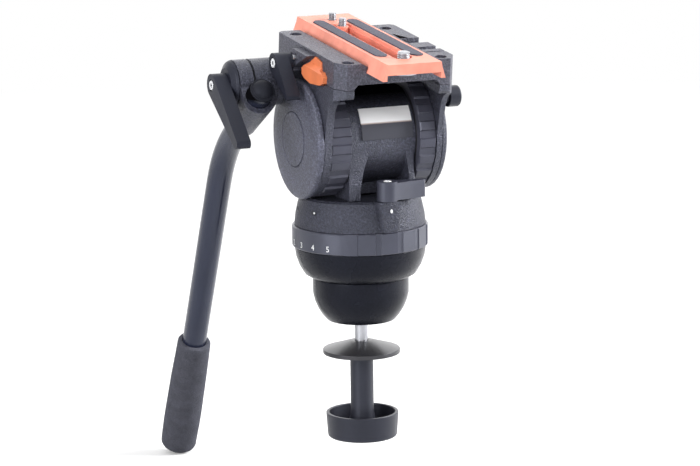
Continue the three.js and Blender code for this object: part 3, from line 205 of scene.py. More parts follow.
def coat(grain, strength, depth, wear_and_edge_light=0.0, lift=1.5, cloudy=0.15, speck=0.0, rough_spread=0.06):
    """Powder coat, satin paint or moulded plastic: grain, lighter specks, cloudy gloss and lighter edges,
    partly rubbed wear and partly painted highlight.
    """

    def build(tree, bsdf, base, rough):
        vector = coords(tree)
        cloud = noise(tree, vector, CLOUD_SCALE, 3)
        fine = noise(tree, vector, grain, 2, 0.6)
        dark, light = shades(base, 1 - cloudy, 1 + cloudy)
        colour = ramp(tree, cloud, [(0.32, dark), (0.68, light)])
        if speck:
            dots = noise(tree, vector, grain * 0.8, 2, 0.7)
            dim = (1 - speck,) * 3
            bright = (1 + 2.2 * speck,) * 3
            tint = ramp(tree, dots, [(0.38, dim), (0.52, WHITE), (0.68, bright)])
            colour = mix(tree, 1.0, colour, tint, "MULTIPLY")
        # Lighter colour along convex and concave edges, in patches: partly rubbed wear, partly a painted
        # highlight on the edges and in the creases.
        if wear_and_edge_light:
            patch = ramp(tree, noise(tree, vector, WEAR_AND_EDGE_LIGHT_SCALE, 3), [(0.42, BLACK), (0.62, WHITE)])
            edges = arithmetic(tree, "MULTIPLY", edge_mask(tree, WEAR_AND_EDGE_LIGHT_WIDTH), patch)
            worn_and_edge_lit = arithmetic(tree, "MULTIPLY", edges, wear_and_edge_light)
            bare = tuple(min(1, c * lift + 0.03) for c in base)
            colour = mix(tree, worn_and_edge_lit, colour, bare)
        tree.links.new(colour, bsdf.inputs["Base Color"])
        gloss = spread(tree, cloud, rough - rough_spread, rough + rough_spread)
        tree.links.new(gloss, bsdf.inputs["Roughness"])
        bump(tree, bsdf, fine, strength, depth)

    return build


def machined(grain, strength):
    """Turned or brushed metal: fine lines and small changes of gloss."""

    def build(tree, bsdf, base, rough):
        lines = noise(tree, coords(tree, (1, 1, 8)), grain, 4, 0.7)
        cloud = noise(tree, coords(tree), 90, 3)
        dark, light = shades(base, 0.8, 1.12)
        tree.links.new(ramp(tree, cloud, [(0.3, dark), (0.7, light)]), bsdf.inputs["Base Color"])
        tree.links.new(spread(tree, lines, rough - 0.08, rough + 0.1), bsdf.inputs["Roughness"])
        bump(tree, bsdf, lines, strength, 0.00005)

    return build


def foam_look(tree, bsdf, base, rough):
    """Closed-cell foam: fine cells, soft dents and a dusty surface."""
    vector = coords(tree)
    cells = tree.nodes.new("ShaderNodeTexVoronoi")
    cells.inputs["Scale"].default_value = 1500
    tree.links.new(vector, cells.inputs["Vector"])
    fine = noise(tree, vector, 2600, 2)
    cloud = noise(tree, vector, 120, 4, 0.65)
    dark, light = shades(base, 0.85, 1.25)
    body = ramp(tree, cloud, [(0.35, dark), (0.7, light)])
    dust = ramp(tree, fine, [(0.35, (0.5, 0.5, 0.5)), (0.7, (1.35, 1.35, 1.35))])
    tree.links.new(mix(tree, 0.8, body, dust, "MULTIPLY"), bsdf.inputs["Base Color"])
    dents = bump(tree, bsdf, cells.outputs["Distance"], 0.55, 0.0004)
    bump(tree, bsdf, cloud, 0.35, 0.0012, dents)


def faded(finish, low, high, dark, level):
    """Painted shade: a finish that turns dark and dull above a height, where its neighbours keep it in
    shade.
    """

    def build(tree, bsdf, base, rough):
        finish(tree, bsdf, base, rough)
        fade = height_share(tree, low * MM, high * MM)
        colour = bsdf.inputs["Base Color"].links[0].from_socket
        tree.links.new(mix(tree, fade, colour, dark), bsdf.inputs["Base Color"])
        tree.links.new(ranged(tree, fade, 0.0, 1.0, level, 0.0), bsdf.inputs["Specular IOR Level"])

    return build


def two_tone(low, high, share):
    """A plate left bare: a white field above a dark strip, split by height."""

    def build(tree, bsdf, base, rough):
        strip = (0.034, 0.034, 0.042)
        stops = [
            (0.0, (0.02, 0.02, 0.024)),
            (0.03, strip),
            (share - 0.03, strip),
            (share, (0.45, 0.36, 0.33)),
            (share + 0.035, base),
        ]
        tree.links.new(ramp(tree, height_share(tree, low, high), stops), bsdf.inputs["Base Color"])
        bump(tree, bsdf, noise(tree, coords(tree), 2200, 2), 0.06, 0.00004)

    return build


# Materials

# Paint and plastic mirror the white surroundings a little blue
COOL = (0.8, 0.84, 1.0)


def material(name, base, rough, metallic=0.0, level=0.5, build=None):
    """A Principled material with its constants on the shader's own sockets and a pattern built on top."""
    m = bpy.data.materials.new(name)
    m.use_nodes = True
    tree = m.node_tree
    bsdf = tree.nodes["Principled BSDF"]
    tint = COOL if metallic < 0.3 else WHITE
    bsdf.inputs["Base Color"].default_value = (*base, 1)
    bsdf.inputs["Roughness"].default_value = rough
    bsdf.inputs["Metallic"].default_value = metallic
    bsdf.inputs["Specular Tint"].default_value = (*tint, 1)
    bsdf.inputs["Specular IOR Level"].default_value = level
    if build:
        build(tree, bsdf, base, rough)
    return m


CASTING = (0.026, 0.0266, 0.039)
# A lighter copy of the casting colour: painted light on the left cover and the insets
LIT_COVER = (0.056, 0.0575, 0.082)
TUBE = (0.0165, 0.020, 0.038)
# Colour of the painted shade on the tops of the tube and the barrel
SHADE = (0.004, 0.004, 0.005)
CAST_ROUGH = 0.44
CAST_LEVEL = 0.62
TUBE_LEVEL = 0.45

cast_coat = coat(grain=760, strength=1.0, depth=0.0009, wear_and_edge_light=0.7, lift=1.8, speck=0.5)
deck_coat = coat(grain=760, strength=1.0, depth=0.0009, wear_and_edge_light=0.8, lift=2.0, speck=0.55)
ring_coat = coat(grain=1500, strength=0.3, depth=0.0001, wear_and_edge_light=0.5)
lever_coat = coat(grain=1000, strength=0.45, depth=0.00016, wear_and_edge_light=0.4)
anodised = coat(grain=2600, strength=0.14, depth=0.00005, wear_and_edge_light=0.3, lift=1.1, rough_spread=0.05)
moulded_orange = coat(grain=1500, strength=0.12, depth=0.00006, wear_and_edge_light=0.25, lift=1.1)
rubber = coat(grain=1200, strength=0.7, depth=0.0002, speck=0.25)
moulded_knob = coat(grain=1300, strength=0.3, depth=0.00012, wear_and_edge_light=0.2)
moulded_cap = coat(grain=1300, strength=0.5, depth=0.0002, wear_and_edge_light=0.2)
label_coat = coat(grain=1800, strength=0.06, depth=0.00004, wear_and_edge_light=0.1)
housing_coat = coat(grain=1100, strength=0.5, depth=0.0002, wear_and_edge_light=0.4, speck=0.2)
pan_ring_coat = coat(grain=1500, strength=0.25, depth=0.0001, wear_and_edge_light=0.6, lift=2.0)
pan_lever_coat = coat(grain=1000, strength=0.35, depth=0.00014, wear_and_edge_light=0.5)
tube_coat = coat(grain=1200, strength=0.05, depth=0.00003, cloudy=0.04)
# Painted shade: the tube's top end inside the clamp and the barrel's top under the deck turn dark and lose
# their gloss.
shaded_tube = faded(tube_coat, low=146, high=150, dark=SHADE, level=TUBE_LEVEL)
shaded_barrel = faded(cast_coat, low=142, high=150, dark=SHADE, level=CAST_LEVEL)
turned = machined(grain=1500, strength=0.2)
turned_steel = machined(grain=1400, strength=0.25)
turned_dark = machined(grain=1600, strength=0.2)
turned_zinc = machined(grain=1400, strength=0.15)

MATERIALS = {
    "casting": material("black_paint", CASTING, CAST_ROUGH, level=CAST_LEVEL, build=cast_coat),
    "deck_paint": material("deck_paint", (0.042, 0.041, 0.056), 0.46, level=0.6, build=deck_coat),
    "ring_paint": material("ring_paint", (0.039, 0.0395, 0.055), 0.42, build=ring_coat),
    "lever_black": material("lever_black", (0.008, 0.0088, 0.015), 0.5, level=0.31, build=lever_coat),
    "orange_anodised": material("orange_anodised", (0.88, 0.325, 0.242), 0.45, level=0.12, build=anodised),
    "orange_plastic": material("orange_plastic", (0.80, 0.225, 0.092), 0.42, build=moulded_orange),
    "pad_rubber": material("pad_rubber", (0.072, 0.07, 0.09), 0.8, build=rubber),
    "foam": material("foam", (0.062, 0.063, 0.078), 0.9, build=foam_look),
    # The tube's paint turns to painted shade at its top end.
    "tube_paint": material("tube_paint", TUBE, 0.22, level=TUBE_LEVEL, build=shaded_tube),
    "knob_plastic": material("knob_plastic", (0.011, 0.0115, 0.017), 0.42, level=0.35, build=moulded_knob),
    "steel": material("steel", (0.34, 0.345, 0.37), 0.34, metallic=1.0, build=turned_steel),
    "dark_steel": material("dark_steel", (0.035, 0.035, 0.04), 0.32, metallic=0.6, build=turned_dark),
    "label": material("label_plate", (0.8, 0.8, 0.81), 0.35, metallic=0.1, build=label_coat),
    "bronze": material("bronze", (0.45, 0.3, 0.13), 0.35, metallic=1.0, build=turned),
    "cartridge_metal": material("cartridge_metal", (0.5, 0.51, 0.53), 0.35, metallic=1.0, build=turned),
}

# Pieces whose material differs from the rest of their slot. The lower housing and ball, the pan ring and
# the cap have finishes of their own; the lighter paint of the left cover, the insets and the pan lock lever
# is painted light, the darker paint of the dome is painted shade, and the barrel's paint has painted shade
# on its top.
housing_gloss = material("housing_gloss", (0.0055, 0.006, 0.010), 0.26, level=0.14, build=housing_coat)
lit_cover_paint = material("lit_cover_paint", LIT_COVER, CAST_ROUGH, level=CAST_LEVEL, build=cast_coat)
barrel_paint_and_shade = material("barrel_paint_and_shade", CASTING, CAST_ROUGH, level=CAST_LEVEL, build=shaded_barrel)
# Painted shade: a darker, less glossy copy of the casting paint for the dome.
shaded_dome_paint = material("shaded_dome_paint", (0.016, 0.0165, 0.025), 0.46, level=0.42, build=cast_coat)
pan_ring_paint = material("pan_ring_paint", (0.029, 0.03, 0.043), 0.36, level=0.6, build=pan_ring_coat)
# Painted light: a lighter copy of the lever paint for the pan lock lever.
lit_pan_lever_paint = material("lit_pan_lever_paint", (0.027, 0.028, 0.041), 0.4, build=pan_lever_coat)
cap_matt = material("cap_matt", (0.007, 0.0075, 0.011), 0.6, level=0.2, build=moulded_cap)
VARIANTS = {
    "lower_housing": housing_gloss,
    "half_ball": housing_gloss,
    "side_cover_left": lit_cover_paint,
    "pan_dome": shaded_dome_paint,
    "inset_plate_left": lit_cover_paint,
    "inset_plate_right": lit_cover_paint,
    "tilt_housing": barrel_paint_and_shade,
    "pan_drag_ring": pan_ring_paint,
    "pan_lock_lever": lit_pan_lever_paint,
    "handle_end_cap": cap_matt,
}
# Screw heads of the levers, which are brighter than the camera screws
ZINC = material("zinc_plated", (0.86, 0.87, 0.9), 0.45, metallic=0.35, build=turned_zinc)
# White of the printed digits and marks, also used for a painted highlight in a hole
PRINT_AND_GLINT = material("white_print_and_glint", (0.82, 0.83, 0.84), 0.5)
# Colour of the painted shade in the holes of the dome
HOLE_SHADE = material("painted_hole_shade", (0.006, 0.006, 0.007), 0.6)


# Carried-over solids

WELD_DISTANCE = 0.000004
SMOOTH_ANGLE = math.radians(28)
BEVEL_ANGLE = math.radians(32)
# Width of the rounded edges of each slot in millimetres
BEVEL = {
    "casting": 0.7,
    "deck_paint": 0.6,
    "ring_paint": 0.35,
    "lever_black": 0.7,
    "orange_anodised": 0.4,
    "orange_plastic": 0.7,
    "pad_rubber": 0.25,
    "knob_plastic": 0.6,
    "steel": 0.25,
    "dark_steel": 0.3,
    "label": 0.15,
    "tube_paint": 0.2,
    "bronze": 0.2,
    "cartridge_metal": 0.2,
}
# The thin facets of the catch take a narrower edge than the other plastic pieces
BEVEL_OF = {"safety_catch": 0.15}


def smoother():
    """Node group that welds the imported corners and shades faces smooth up to an angle."""
    g = bpy.data.node_groups.new("smooth_by_angle", "GeometryNodeTree")
    g.interface.new_socket("Geometry", in_out="INPUT", socket_type="NodeSocketGeometry")
    g.interface.new_socket("Geometry", in_out="OUTPUT", socket_type="NodeSocketGeometry")
    start = g.nodes.new("NodeGroupInput")
    end = g.nodes.new("NodeGroupOutput")
    drop = g.nodes.new("GeometryNodeRemoveAttribute")
    drop.inputs["Name"].default_value = "custom_normal"
    weld = g.nodes.new("GeometryNodeMergeByDistance")
    weld.inputs["Distance"].default_value = WELD_DISTANCE
    faces = g.nodes.new("GeometryNodeSetShadeSmooth")
    edges = g.nodes.new("GeometryNodeSetShadeSmooth")
    edges.domain = "EDGE"
    angle = g.nodes.new("GeometryNodeInputMeshEdgeAngle")
    test = g.nodes.new("FunctionNodeCompare")
    test.operation = "LESS_EQUAL"
    test.inputs["B"].default_value = SMOOTH_ANGLE
    g.links.new(start.outputs[0], drop.inputs["Geometry"])
    g.links.new(drop.outputs["Geometry"], weld.inputs["Geometry"])
    g.links.new(weld.outputs["Geometry"], faces.inputs["Geometry"])
    g.links.new(faces.outputs["Geometry"], edges.inputs["Geometry"])
    g.links.new(angle.outputs["Unsigned Angle"], test.inputs["A"])
    g.links.new(test.outputs["Result"], edges.inputs["Shade Smooth"])
    g.links.new(edges.outputs["Geometry"], end.inputs[0])
    return g


def refine(obj, width, group):
    """Smooth shading and narrow rounded edges on one carried-over solid."""
    smooth = obj.modifiers.new("smooth", "NODES")
    smooth.node_group = group
    edges = obj.modifiers.new("edges", "BEVEL")
    edges.width = width * MM
    edges.segments = 2
    edges.limit_method = "ANGLE"
    edges.angle_limit = BEVEL_ANGLE
    edges.harden_normals = True
    edges.use_clamp_overlap = True


def dress_solids():
    """Give every carried-over solid its finish and, but for the foam, its rounded edges."""
    group = smoother()
    slot_of = {part["node"]: part["material_slot"] for part in frame["record"]["subparts"]}
    for name, obj in nodes.items():
        slot = slot_of[name]
        obj.data.materials.clear()
        obj.data.materials.append(VARIANTS.get(name) or MATERIALS[slot])
        if slot != "foam":
            refine(obj, BEVEL_OF.get(name) or BEVEL[slot], group)


dress_solids()


# Piece helpers

def piece(name, bm, slot, body, place=LEVEL, smooth=35, look=None):
    """Turn a mesh in millimetres into an object that moves with one body."""
    mesh = bpy.data.meshes.new(name)
    bm.to_mesh(mesh)
    bm.free()
    mesh.transform(Matrix.Scale(MM, 4))
    mesh.transform(place)
    obj = bpy.data.objects.new(name, mesh)
    bpy.context.scene.collection.objects.link(obj)
    mesh.materials.append(look or MATERIALS[slot])
    for polygon in mesh.polygons:
        polygon.use_smooth = True
    mesh.set_sharp_from_angle(angle=math.radians(smooth))
    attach(obj, body)
    return obj


def level_box(node, place):
    """Centre and half sizes of a node in the frame in which its body is drawn, in millimetres."""
    back = place.inverted()
    points = [back @ (nodes[node].matrix_world @ v.co) for v in nodes[node].data.vertices]
    low = Vector([min(p[i] for p in points) for i in range(3)]) / MM
    high = Vector([max(p[i] for p in points) for i in range(3)]) / MM
    return (low + high) / 2, (high - low) / 2


def axes_about(direction):
    """Rotation that brings Z to a direction."""
    z = Vector(direction).normalized()
    x = z.orthogonal().normalized()
    return Matrix((x, z.cross(x), z)).transposed()


def polar(radius, angle, height):
    return Vector((radius * math.cos(angle), radius * math.sin(angle), height))


def turns(count):
    """Angles of evenly spaced corners round a circle."""
    return [2 * math.pi * i / count for i in range(count)]


def skin(bm, rows, closed=False):
    """Faces between neighbouring rows of corners. A row is a ring or a single point."""
    pairs = list(zip(rows, rows[1:]))
    if closed:
        pairs.append((rows[-1], rows[0]))
    for a, b in pairs:
        count = max(len(a), len(b))
        for i in range(count):
            k = (i + 1) % count
            if len(a) == 1:
                bm.faces.new((a[0], b[i], b[k]))
            elif len(b) == 1:
                bm.faces.new((a[i], b[0], a[k]))
            else:
                bm.faces.new((a[i], b[i], b[k], a[k]))
    bmesh.ops.recalc_face_normals(bm, faces=bm.faces)
    return bm


def lathe(profile, segments, centre, axis=(0, 0, 1), closed=False):
    """Mesh turned from (radius, along) points about an axis through a centre, in millimetres."""
    bm = bmesh.new()
    turn = axes_about(axis)
    rows = []
    for radius, along in profile:
        angles = turns(segments) if radius else [0.0]
        rows.append([bm.verts.new(turn @ polar(radius, a, along) + Vector(centre)) for a in angles])
    return skin(bm, rows, closed)


def prism(start, end):
    """Solid between two outlines that have as many corners."""
    bm = bmesh.new()
    rows = [[bm.verts.new(p) for p in outline] for outline in (start, end)]
    for row in rows:
        bm.faces.new(row)
    return skin(bm, rows)


# Foam grip

GRIP_START = Vector((-80, 134.8, -83.2))
GRIP_END = Vector((-80, 169.1, -186.1))
GRIP_BORE = 10.05
GRIP_BORE_INSET = 0.5
GRIP_LIP = 11.9
GRIP_LIP_BULGE = 1.6
GRIP_LIP_HEIGHT = 2.2
GRIP_TOP_ROUND = 2.6
GRIP_WAIST = 13.5
GRIP_SWELL = 1.45
GRIP_DROOP = 0.35
GRIP_END_ROUND = 6.0
GRIP_END_FLAT = 9.0
GRIP_END_BULGE = 5.6
GRIP_END_HEIGHT = 5.7
GRIP_END_HOLE = 6.2
GRIP_END_INSET = 0.35
GRIP_RIPPLE = 0.06
GRIP_RIPPLE_SCALE = 0.11


def foam_grip():
    """Barrel-shaped foam sleeve with rounded ends, pulled tight on the tube."""
    axis = GRIP_END - GRIP_START
    length = axis.length
    straight = length - GRIP_TOP_ROUND - GRIP_END_ROUND
    profile = [(GRIP_BORE, GRIP_BORE_INSET)]
    for k in range(7):
        a = math.pi / 2 * k / 6
        radius = GRIP_LIP + GRIP_LIP_BULGE * math.sin(a)
        profile.append((radius, GRIP_TOP_ROUND - GRIP_LIP_HEIGHT * math.cos(a)))
    for k in range(1, 28):
        t = k / 28
        rise = math.sin(min(1, t * 1.25) * math.pi / 2)
        fall = max(0, t - 0.8) / 0.2
        radius = GRIP_WAIST + GRIP_SWELL * rise - GRIP_DROOP * fall
        profile.append((radius, GRIP_TOP_ROUND + straight * t))
    for k in range(1, 10):
        a = math.pi / 2 * k / 9
        radius = GRIP_END_FLAT + GRIP_END_BULGE * math.cos(a)
        profile.append((radius, length - GRIP_END_ROUND + GRIP_END_HEIGHT * math.sin(a)))
    profile.append((GRIP_END_HOLE, length - GRIP_END_INSET))
    bm = lathe(profile, 56, GRIP_START, axis)
    for v in bm.verts:
        p = v.co * GRIP_RIPPLE_SCALE
        v.co += Vector((math.sin(p.z * 1.3 + p.x), math.cos(p.x * 1.7 + p.z), 0)) * GRIP_RIPPLE
    return bm


grip = piece("foam_sleeve", foam_grip(), "foam", "handle", TILT)
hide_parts("foam_grip")


# Screws

# Radius of the head and half the width across flats of its socket, for the levers and for the pan lock
LEVER_HEAD = (3.6, 1.75)
PAN_LOCK_HEAD = (3.1, 1.6)
HEAD_CORNERS = 72
HEAD_DEPTH = 1.1
HEAD_SUNK = 0.02
SOCKET_FLOOR = HEAD_DEPTH - 0.05
SOCKET_TIP = HEAD_DEPTH - 0.02
RIM_CHAMFER = 0.16
RIM_CHAMFER_DEPTH = 0.13
RIM_WIDTH = 0.5
RIM_DEPTH = 0.45
SOCKET_CHAMFER = 0.32
SOCKET_CHAMFER_DEPTH = 0.3
SEAT_RADIUS = 4.1
SEAT_DEPTH = 1.0
SEAT_FLOOR = 0.75
SEAT_GAP = 0.05
SEAT_CROWN = 0.01
# Sizes of the camera screws: 3/8 inch at the front, 1/4 inch at the rear
FRONT_SCREW = {"radius": 4.76, "head_radius": 11.0, "pitch": 1.59, "thread": 0.9}
REAR_SCREW = {"radius": 3.175, "head_radius": 6.4, "pitch": 1.27, "thread": 0.75}
CAMERA_HEAD_HEIGHT = 3.4
HEAD_LAP = 0.2
HEAD_RIBS = 30
RIB_CORNERS = 4
FLUTE_CORNERS = (2, 3)
FLUTE_DEPTH = 0.22
KNURL_CHAMFER = 0.35
THREAD_CORNERS = 40
THREAD_STEPS = 8
THREAD_SLOPE = 2.5
THREAD_CREST = 0.12
END_CHAMFER = 0.8
END_RISE = 0.12
END_STEP = 0.2


def hex_radius(angle, apothem):
    """Distance from the centre of a hexagon to its side at an angle."""
    return apothem / math.cos((angle % (math.pi / 3)) - math.pi / 6)


def socket_head(centre, axis, radius, apothem):
    """Round screw head with a chamfered rim, a turned face and a hexagon socket."""
    bm = bmesh.new()
    turn = axes_about(axis)
    rows = []

    def row(reach, height):
        points = [polar(reach(a), a, height) for a in turns(HEAD_CORNERS)]
        rows.append([bm.verts.new(turn @ p + Vector(centre)) for p in points])

    row(lambda a: radius, -HEAD_DEPTH)
    row(lambda a: radius, -RIM_DEPTH)
    row(lambda a: radius - RIM_CHAMFER, -RIM_CHAMFER_DEPTH)
    row(lambda a: radius - RIM_WIDTH, 0)
    row(lambda a: hex_radius(a, apothem + SOCKET_CHAMFER), 0)
    row(lambda a: hex_radius(a, apothem), -SOCKET_CHAMFER_DEPTH)
    row(lambda a: hex_radius(a, apothem), -SOCKET_FLOOR)
    rows.append([bm.verts.new(turn @ Vector((0, 0, -SOCKET_TIP)) + Vector(centre))])
    return skin(bm, rows)


def end_screw(node, body, axis, place, sizes):
    """Seat and head of a lever's screw, on the outer face of the carried-over screw."""
    radius, apothem = sizes
    at, half = level_box(node, place)
    out = Vector(axis)
    face = at + out * abs(half.dot(out))
    profile = [
        (0, -SEAT_DEPTH),
        (SEAT_RADIUS, -SEAT_DEPTH),
        (SEAT_RADIUS, -SEAT_FLOOR),
        (radius + SEAT_GAP, -SEAT_FLOOR),
        (0, -SEAT_FLOOR + SEAT_CROWN),
    ]
    piece(node + "_seat", lathe(profile, 64, face, axis), "dark_steel", body, place)
    shape = socket_head(face - out * HEAD_SUNK, axis, radius, apothem)
    head = piece(node + "_head", shape, "steel", body, place, look=ZINC)
    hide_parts(node)


def threaded(radius, low, high, pitch, depth, x, y):
    """Screw shank with a cut helical thread and a chamfered end."""
    bm = bmesh.new()
    root = radius - depth * 0.9
    steps = max(8, int((high - low) / pitch * THREAD_STEPS))
    rows = [[bm.verts.new((x, y, low))]]
    for j in range(steps + 1):
        h = low + (high - low) * j / steps
        limit = root + max(0, (high - h) / END_CHAMFER) * depth * 1.2
        if h >= high:
            limit -= END_STEP
        row = []
        for a in turns(THREAD_CORNERS):
            phase = (h / pitch - a / (2 * math.pi)) % 1
            cut = min(1, max(0, abs(phase - 0.5) * THREAD_SLOPE - THREAD_CREST))
            row.append(bm.verts.new(Vector((x, y, 0)) + polar(min(radius - depth * cut, limit), a, h)))
        rows.append(row)
    rows.append([bm.verts.new((x, y, high + END_RISE))])
    return skin(bm, rows)


def knurled_head(radius, low, high, x, y):
    """Round head with ribs on its rim and a chamfer above and below."""
    bm = bmesh.new()
    sides = (
        (0.82, high),
        (0.93, high),
        (1, high - KNURL_CHAMFER),
        (1, low + KNURL_CHAMFER),
        (0.93, low),
        (0.82, low),
    )
    rows = []
    for share, h in sides:
        row = []
        for i, a in enumerate(turns(HEAD_RIBS * RIB_CORNERS)):
            groove = FLUTE_DEPTH if share == 1 and i % RIB_CORNERS in FLUTE_CORNERS else 0
            row.append(bm.verts.new(Vector((x, y, 0)) + polar(radius * share - groove, a, h)))
        rows.append(row)
    bm.faces.new(rows[0])
    bm.faces.new(rows[-1])
    return skin(bm, rows)


def camera_screw(node, body, radius, head_radius, pitch, thread):
    """Threaded shank and knurled head in the place of a carried-over camera screw."""
    at, half = level_box(node, TILT)
    low = at.z - half.z
    high = at.z + half.z
    head_top = low + CAMERA_HEAD_HEIGHT
    shank = threaded(radius, head_top - HEAD_LAP, high, pitch, thread, at.x, at.y)
    piece(node + "_thread", shank, "steel", body, TILT, 50)
    shape = knurled_head(head_radius, low, head_top, at.x, at.y)
    head = piece(node + "_head", shape, "steel", body, TILT, 30)
    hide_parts(node)


end_screw("clamp_lever_screw", "handle_lever", (-1, 0, 0), TILT, LEVER_HEAD)
end_screw("plate_lock_screw", "plate_lever", (-1, 0, 0), TILT, LEVER_HEAD)
end_screw("pan_lock_screw", "pan_lever", (0, 0, 1), LEVEL, PAN_LOCK_HEAD)
camera_screw("camera_screw_front", "front_screw", **FRONT_SCREW)
camera_screw("camera_screw_rear_1", "rear_screw_1", **REAR_SCREW)
camera_screw("camera_screw_rear_2", "rear_screw_2", **REAR_SCREW)


# Small pieces

RIDGE_LEFT = -24
RIDGE_RIGHT = 30.6
# Radius and angle behind the top of the barrel, for the corners of the ridge
RIDGE = ((36.3, 23), (40.4, 25.5), (41.2, 27), (41.2, 33), (40.4, 34.5), (36.3, 37))
BUSH_BORE = 3.5
BUSH_RADIUS = 4.9
BUSH_DEPTH = 7
BUSH_CHAMFER = 0.3
BUSH_SUNK = 0.5


def barrel_ridge(x):
    """Outline of the ridge across the barrel's rear top, at one place along the tilt axis."""
    outline = []
    for radius, degrees in RIDGE:
        a = math.radians(degrees)
        outline.append((x, radius * math.sin(a), AXIS_Z + radius * math.cos(a)))
    return outline


def rear_bush():
    """Bush in the plate's slot round the second rear screw."""
    at, half = level_box("camera_plate", TILT)
    top = at.z + half.z
    high = top - BUSH_SUNK
    profile = [
        (BUSH_BORE, top - BUSH_DEPTH),
        (BUSH_RADIUS, top - BUSH_DEPTH),
        (BUSH_RADIUS, high - BUSH_CHAMFER),
        (BUSH_RADIUS - BUSH_CHAMFER, high),
        (BUSH_BORE, high),
    ]
    screw, _ = level_box("camera_screw_rear_2", TILT)
    return lathe(profile, 48, (screw.x, screw.y, 0), closed=True)


# Painted shade: a dark ridge put under the deck, where there is shade, painted with the barrel's painted
# shade so that the space there stays dark.
ridge = prism(barrel_ridge(RIDGE_LEFT), barrel_ridge(RIDGE_RIGHT))
piece("barrel_ridge", ridge, "casting", "pan_head", look=barrel_paint_and_shade)
piece("rear_screw_bush", rear_bush(), "orange_anodised", "plate", TILT)


# Printed marks, painted shade in two holes and a painted highlight in one

PRINT_AND_GLINT_THICK = 0.16
HOLE_THICK = 0.1
DIAL_RADIUS = 52.42
DIAL_Z = 36.2
DIGIT_SIZE = 6.2
DIGIT_STEP = 15.3
LAST_DIGIT = 5
LAST_DIGIT_ANGLE = -141.7
DISC_CORNERS = 28
INDEX_HOLE_RADIUS = 1.9
# Size and shift of the white dot at the right of the index hole, a painted highlight
HOLE_GLINT_RADIUS = 0.85
HOLE_GLINT_SHIFT = 1.6
PLUG_RADIUS = 1.6
BOSS_DOT_RADIUS = 1.55
BOSS_DOT_SQUASH = 0.62
# Radius of the drum, angle and height of the marks on the dome and on its boss
INDEX_PLACE = (50.05, -159.0, 62.6)
PLUG_PLACE = (50.0, 175.5, 63.2)
BOSS_PLACE = (52.62, -86.6, 65.2)


def on_drum(bm, radius, degrees, z):
    """Wrap a flat mesh (x to the right, y up, z outward) on an upright cylinder."""
    for v in bm.verts:
        a = math.radians(degrees) + v.co.x / radius
        v.co = polar(radius + v.co.z, a, z + v.co.y)
    return bm


def text_mesh(text, size, thick):
    """Outline mesh of a plain character, centred, as a thin raised layer."""
    curve = bpy.data.curves.new("mark", "FONT")
    curve.body = text
    curve.size = size
    curve.extrude = thick / 2
    curve.resolution_u = 4
    curve.align_x = "CENTER"
    curve.align_y = "CENTER"
    holder = bpy.data.objects.new("mark", curve)
    bpy.context.scene.collection.objects.link(holder)
    bpy.context.view_layer.update()
    mesh = bpy.data.meshes.new_from_object(holder)
    bpy.data.objects.remove(holder)
    bpy.data.curves.remove(curve)
    bm = bmesh.new()
    bm.from_mesh(mesh)
    bpy.data.meshes.remove(mesh)
    return bm


def disc(radius, thick, squash=1.0, shift=0.0):
    """Thin round dot, narrowed by squash and moved sideways by shift."""
    outline = [polar(radius, a, 0) for a in turns(DISC_CORNERS)]
    low = [(p.x * squash + shift, p.y, 0) for p in outline]
    high = [(x, y, thick) for x, y, _ in low]
    return prism(high, low)


for digit in range(LAST_DIGIT + 1):
    degrees = LAST_DIGIT_ANGLE - DIGIT_STEP * (LAST_DIGIT - digit)
    mark = on_drum(text_mesh(str(digit), DIGIT_SIZE, PRINT_AND_GLINT_THICK), DIAL_RADIUS, degrees, DIAL_Z)
    piece(f"ring_mark_{digit}", mark, "label", "pan_ring", look=PRINT_AND_GLINT)

# Flat dark discs in the place of two holes in the dome, painted with the holes' shade.
index_hole = on_drum(disc(INDEX_HOLE_RADIUS, HOLE_THICK), *INDEX_PLACE)
# A white dot at the right side of the index hole: a painted highlight.
hole_glint = on_drum(disc(HOLE_GLINT_RADIUS, PRINT_AND_GLINT_THICK, shift=HOLE_GLINT_SHIFT), *INDEX_PLACE)
plug_hole = on_drum(disc(PLUG_RADIUS, HOLE_THICK), *PLUG_PLACE)
boss_dot = on_drum(disc(BOSS_DOT_RADIUS, PRINT_AND_GLINT_THICK, squash=BOSS_DOT_SQUASH), *BOSS_PLACE)
piece("dome_index_hole", index_hole, "dark_steel", "pan_head", look=HOLE_SHADE)
piece("dome_hole_glint", hole_glint, "label", "pan_head", look=PRINT_AND_GLINT)
piece("dome_plug_hole", plug_hole, "dark_steel", "pan_head", look=HOLE_SHADE)
piece("boss_index", boss_dot, "label", "pan_head", look=PRINT_AND_GLINT)


STRIP_SHARE = 0.53


def name_plate_face():
    """White above dark on the plate, split at a share of its height."""
    low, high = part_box("name_plate")
    fields = two_tone(low[2], high[2], STRIP_SHARE)
    look = material("name_plate_face", (0.9, 0.9, 0.91), 0.5, build=fields)
    mesh = nodes["name_plate"].data
    mesh.materials.clear()
    mesh.materials.append(look)


name_plate_face()


# Floor and light

FLOOR_GAP = 0.0006
FLOOR_HALF = 14
NEAR_FLOOR = 0.9
FAR_FLOOR = 2.4
TARGET = (0, 0, 0.08)
# Place, target, width, height and watts of each lamp, in metres
LAMPS = {
    "ceiling": ((0.6, 1.2, 3.2), (0.6, 1.2, 0), 7.0, 7.0, 133),
    "backdrop": ((1.45, 3.35, 1.3), TARGET, 6.5, 2.4, 62),
    "left": ((-1.75, -0.75, 0.5), TARGET, 1.1, 1.1, 35),
    "right": ((1.9, -0.65, 0.85), TARGET, 1.1, 1.1, 95),
    "front": ((-0.75, -2.7, 1.0), TARGET, 1.8, 1.8, 36),
}


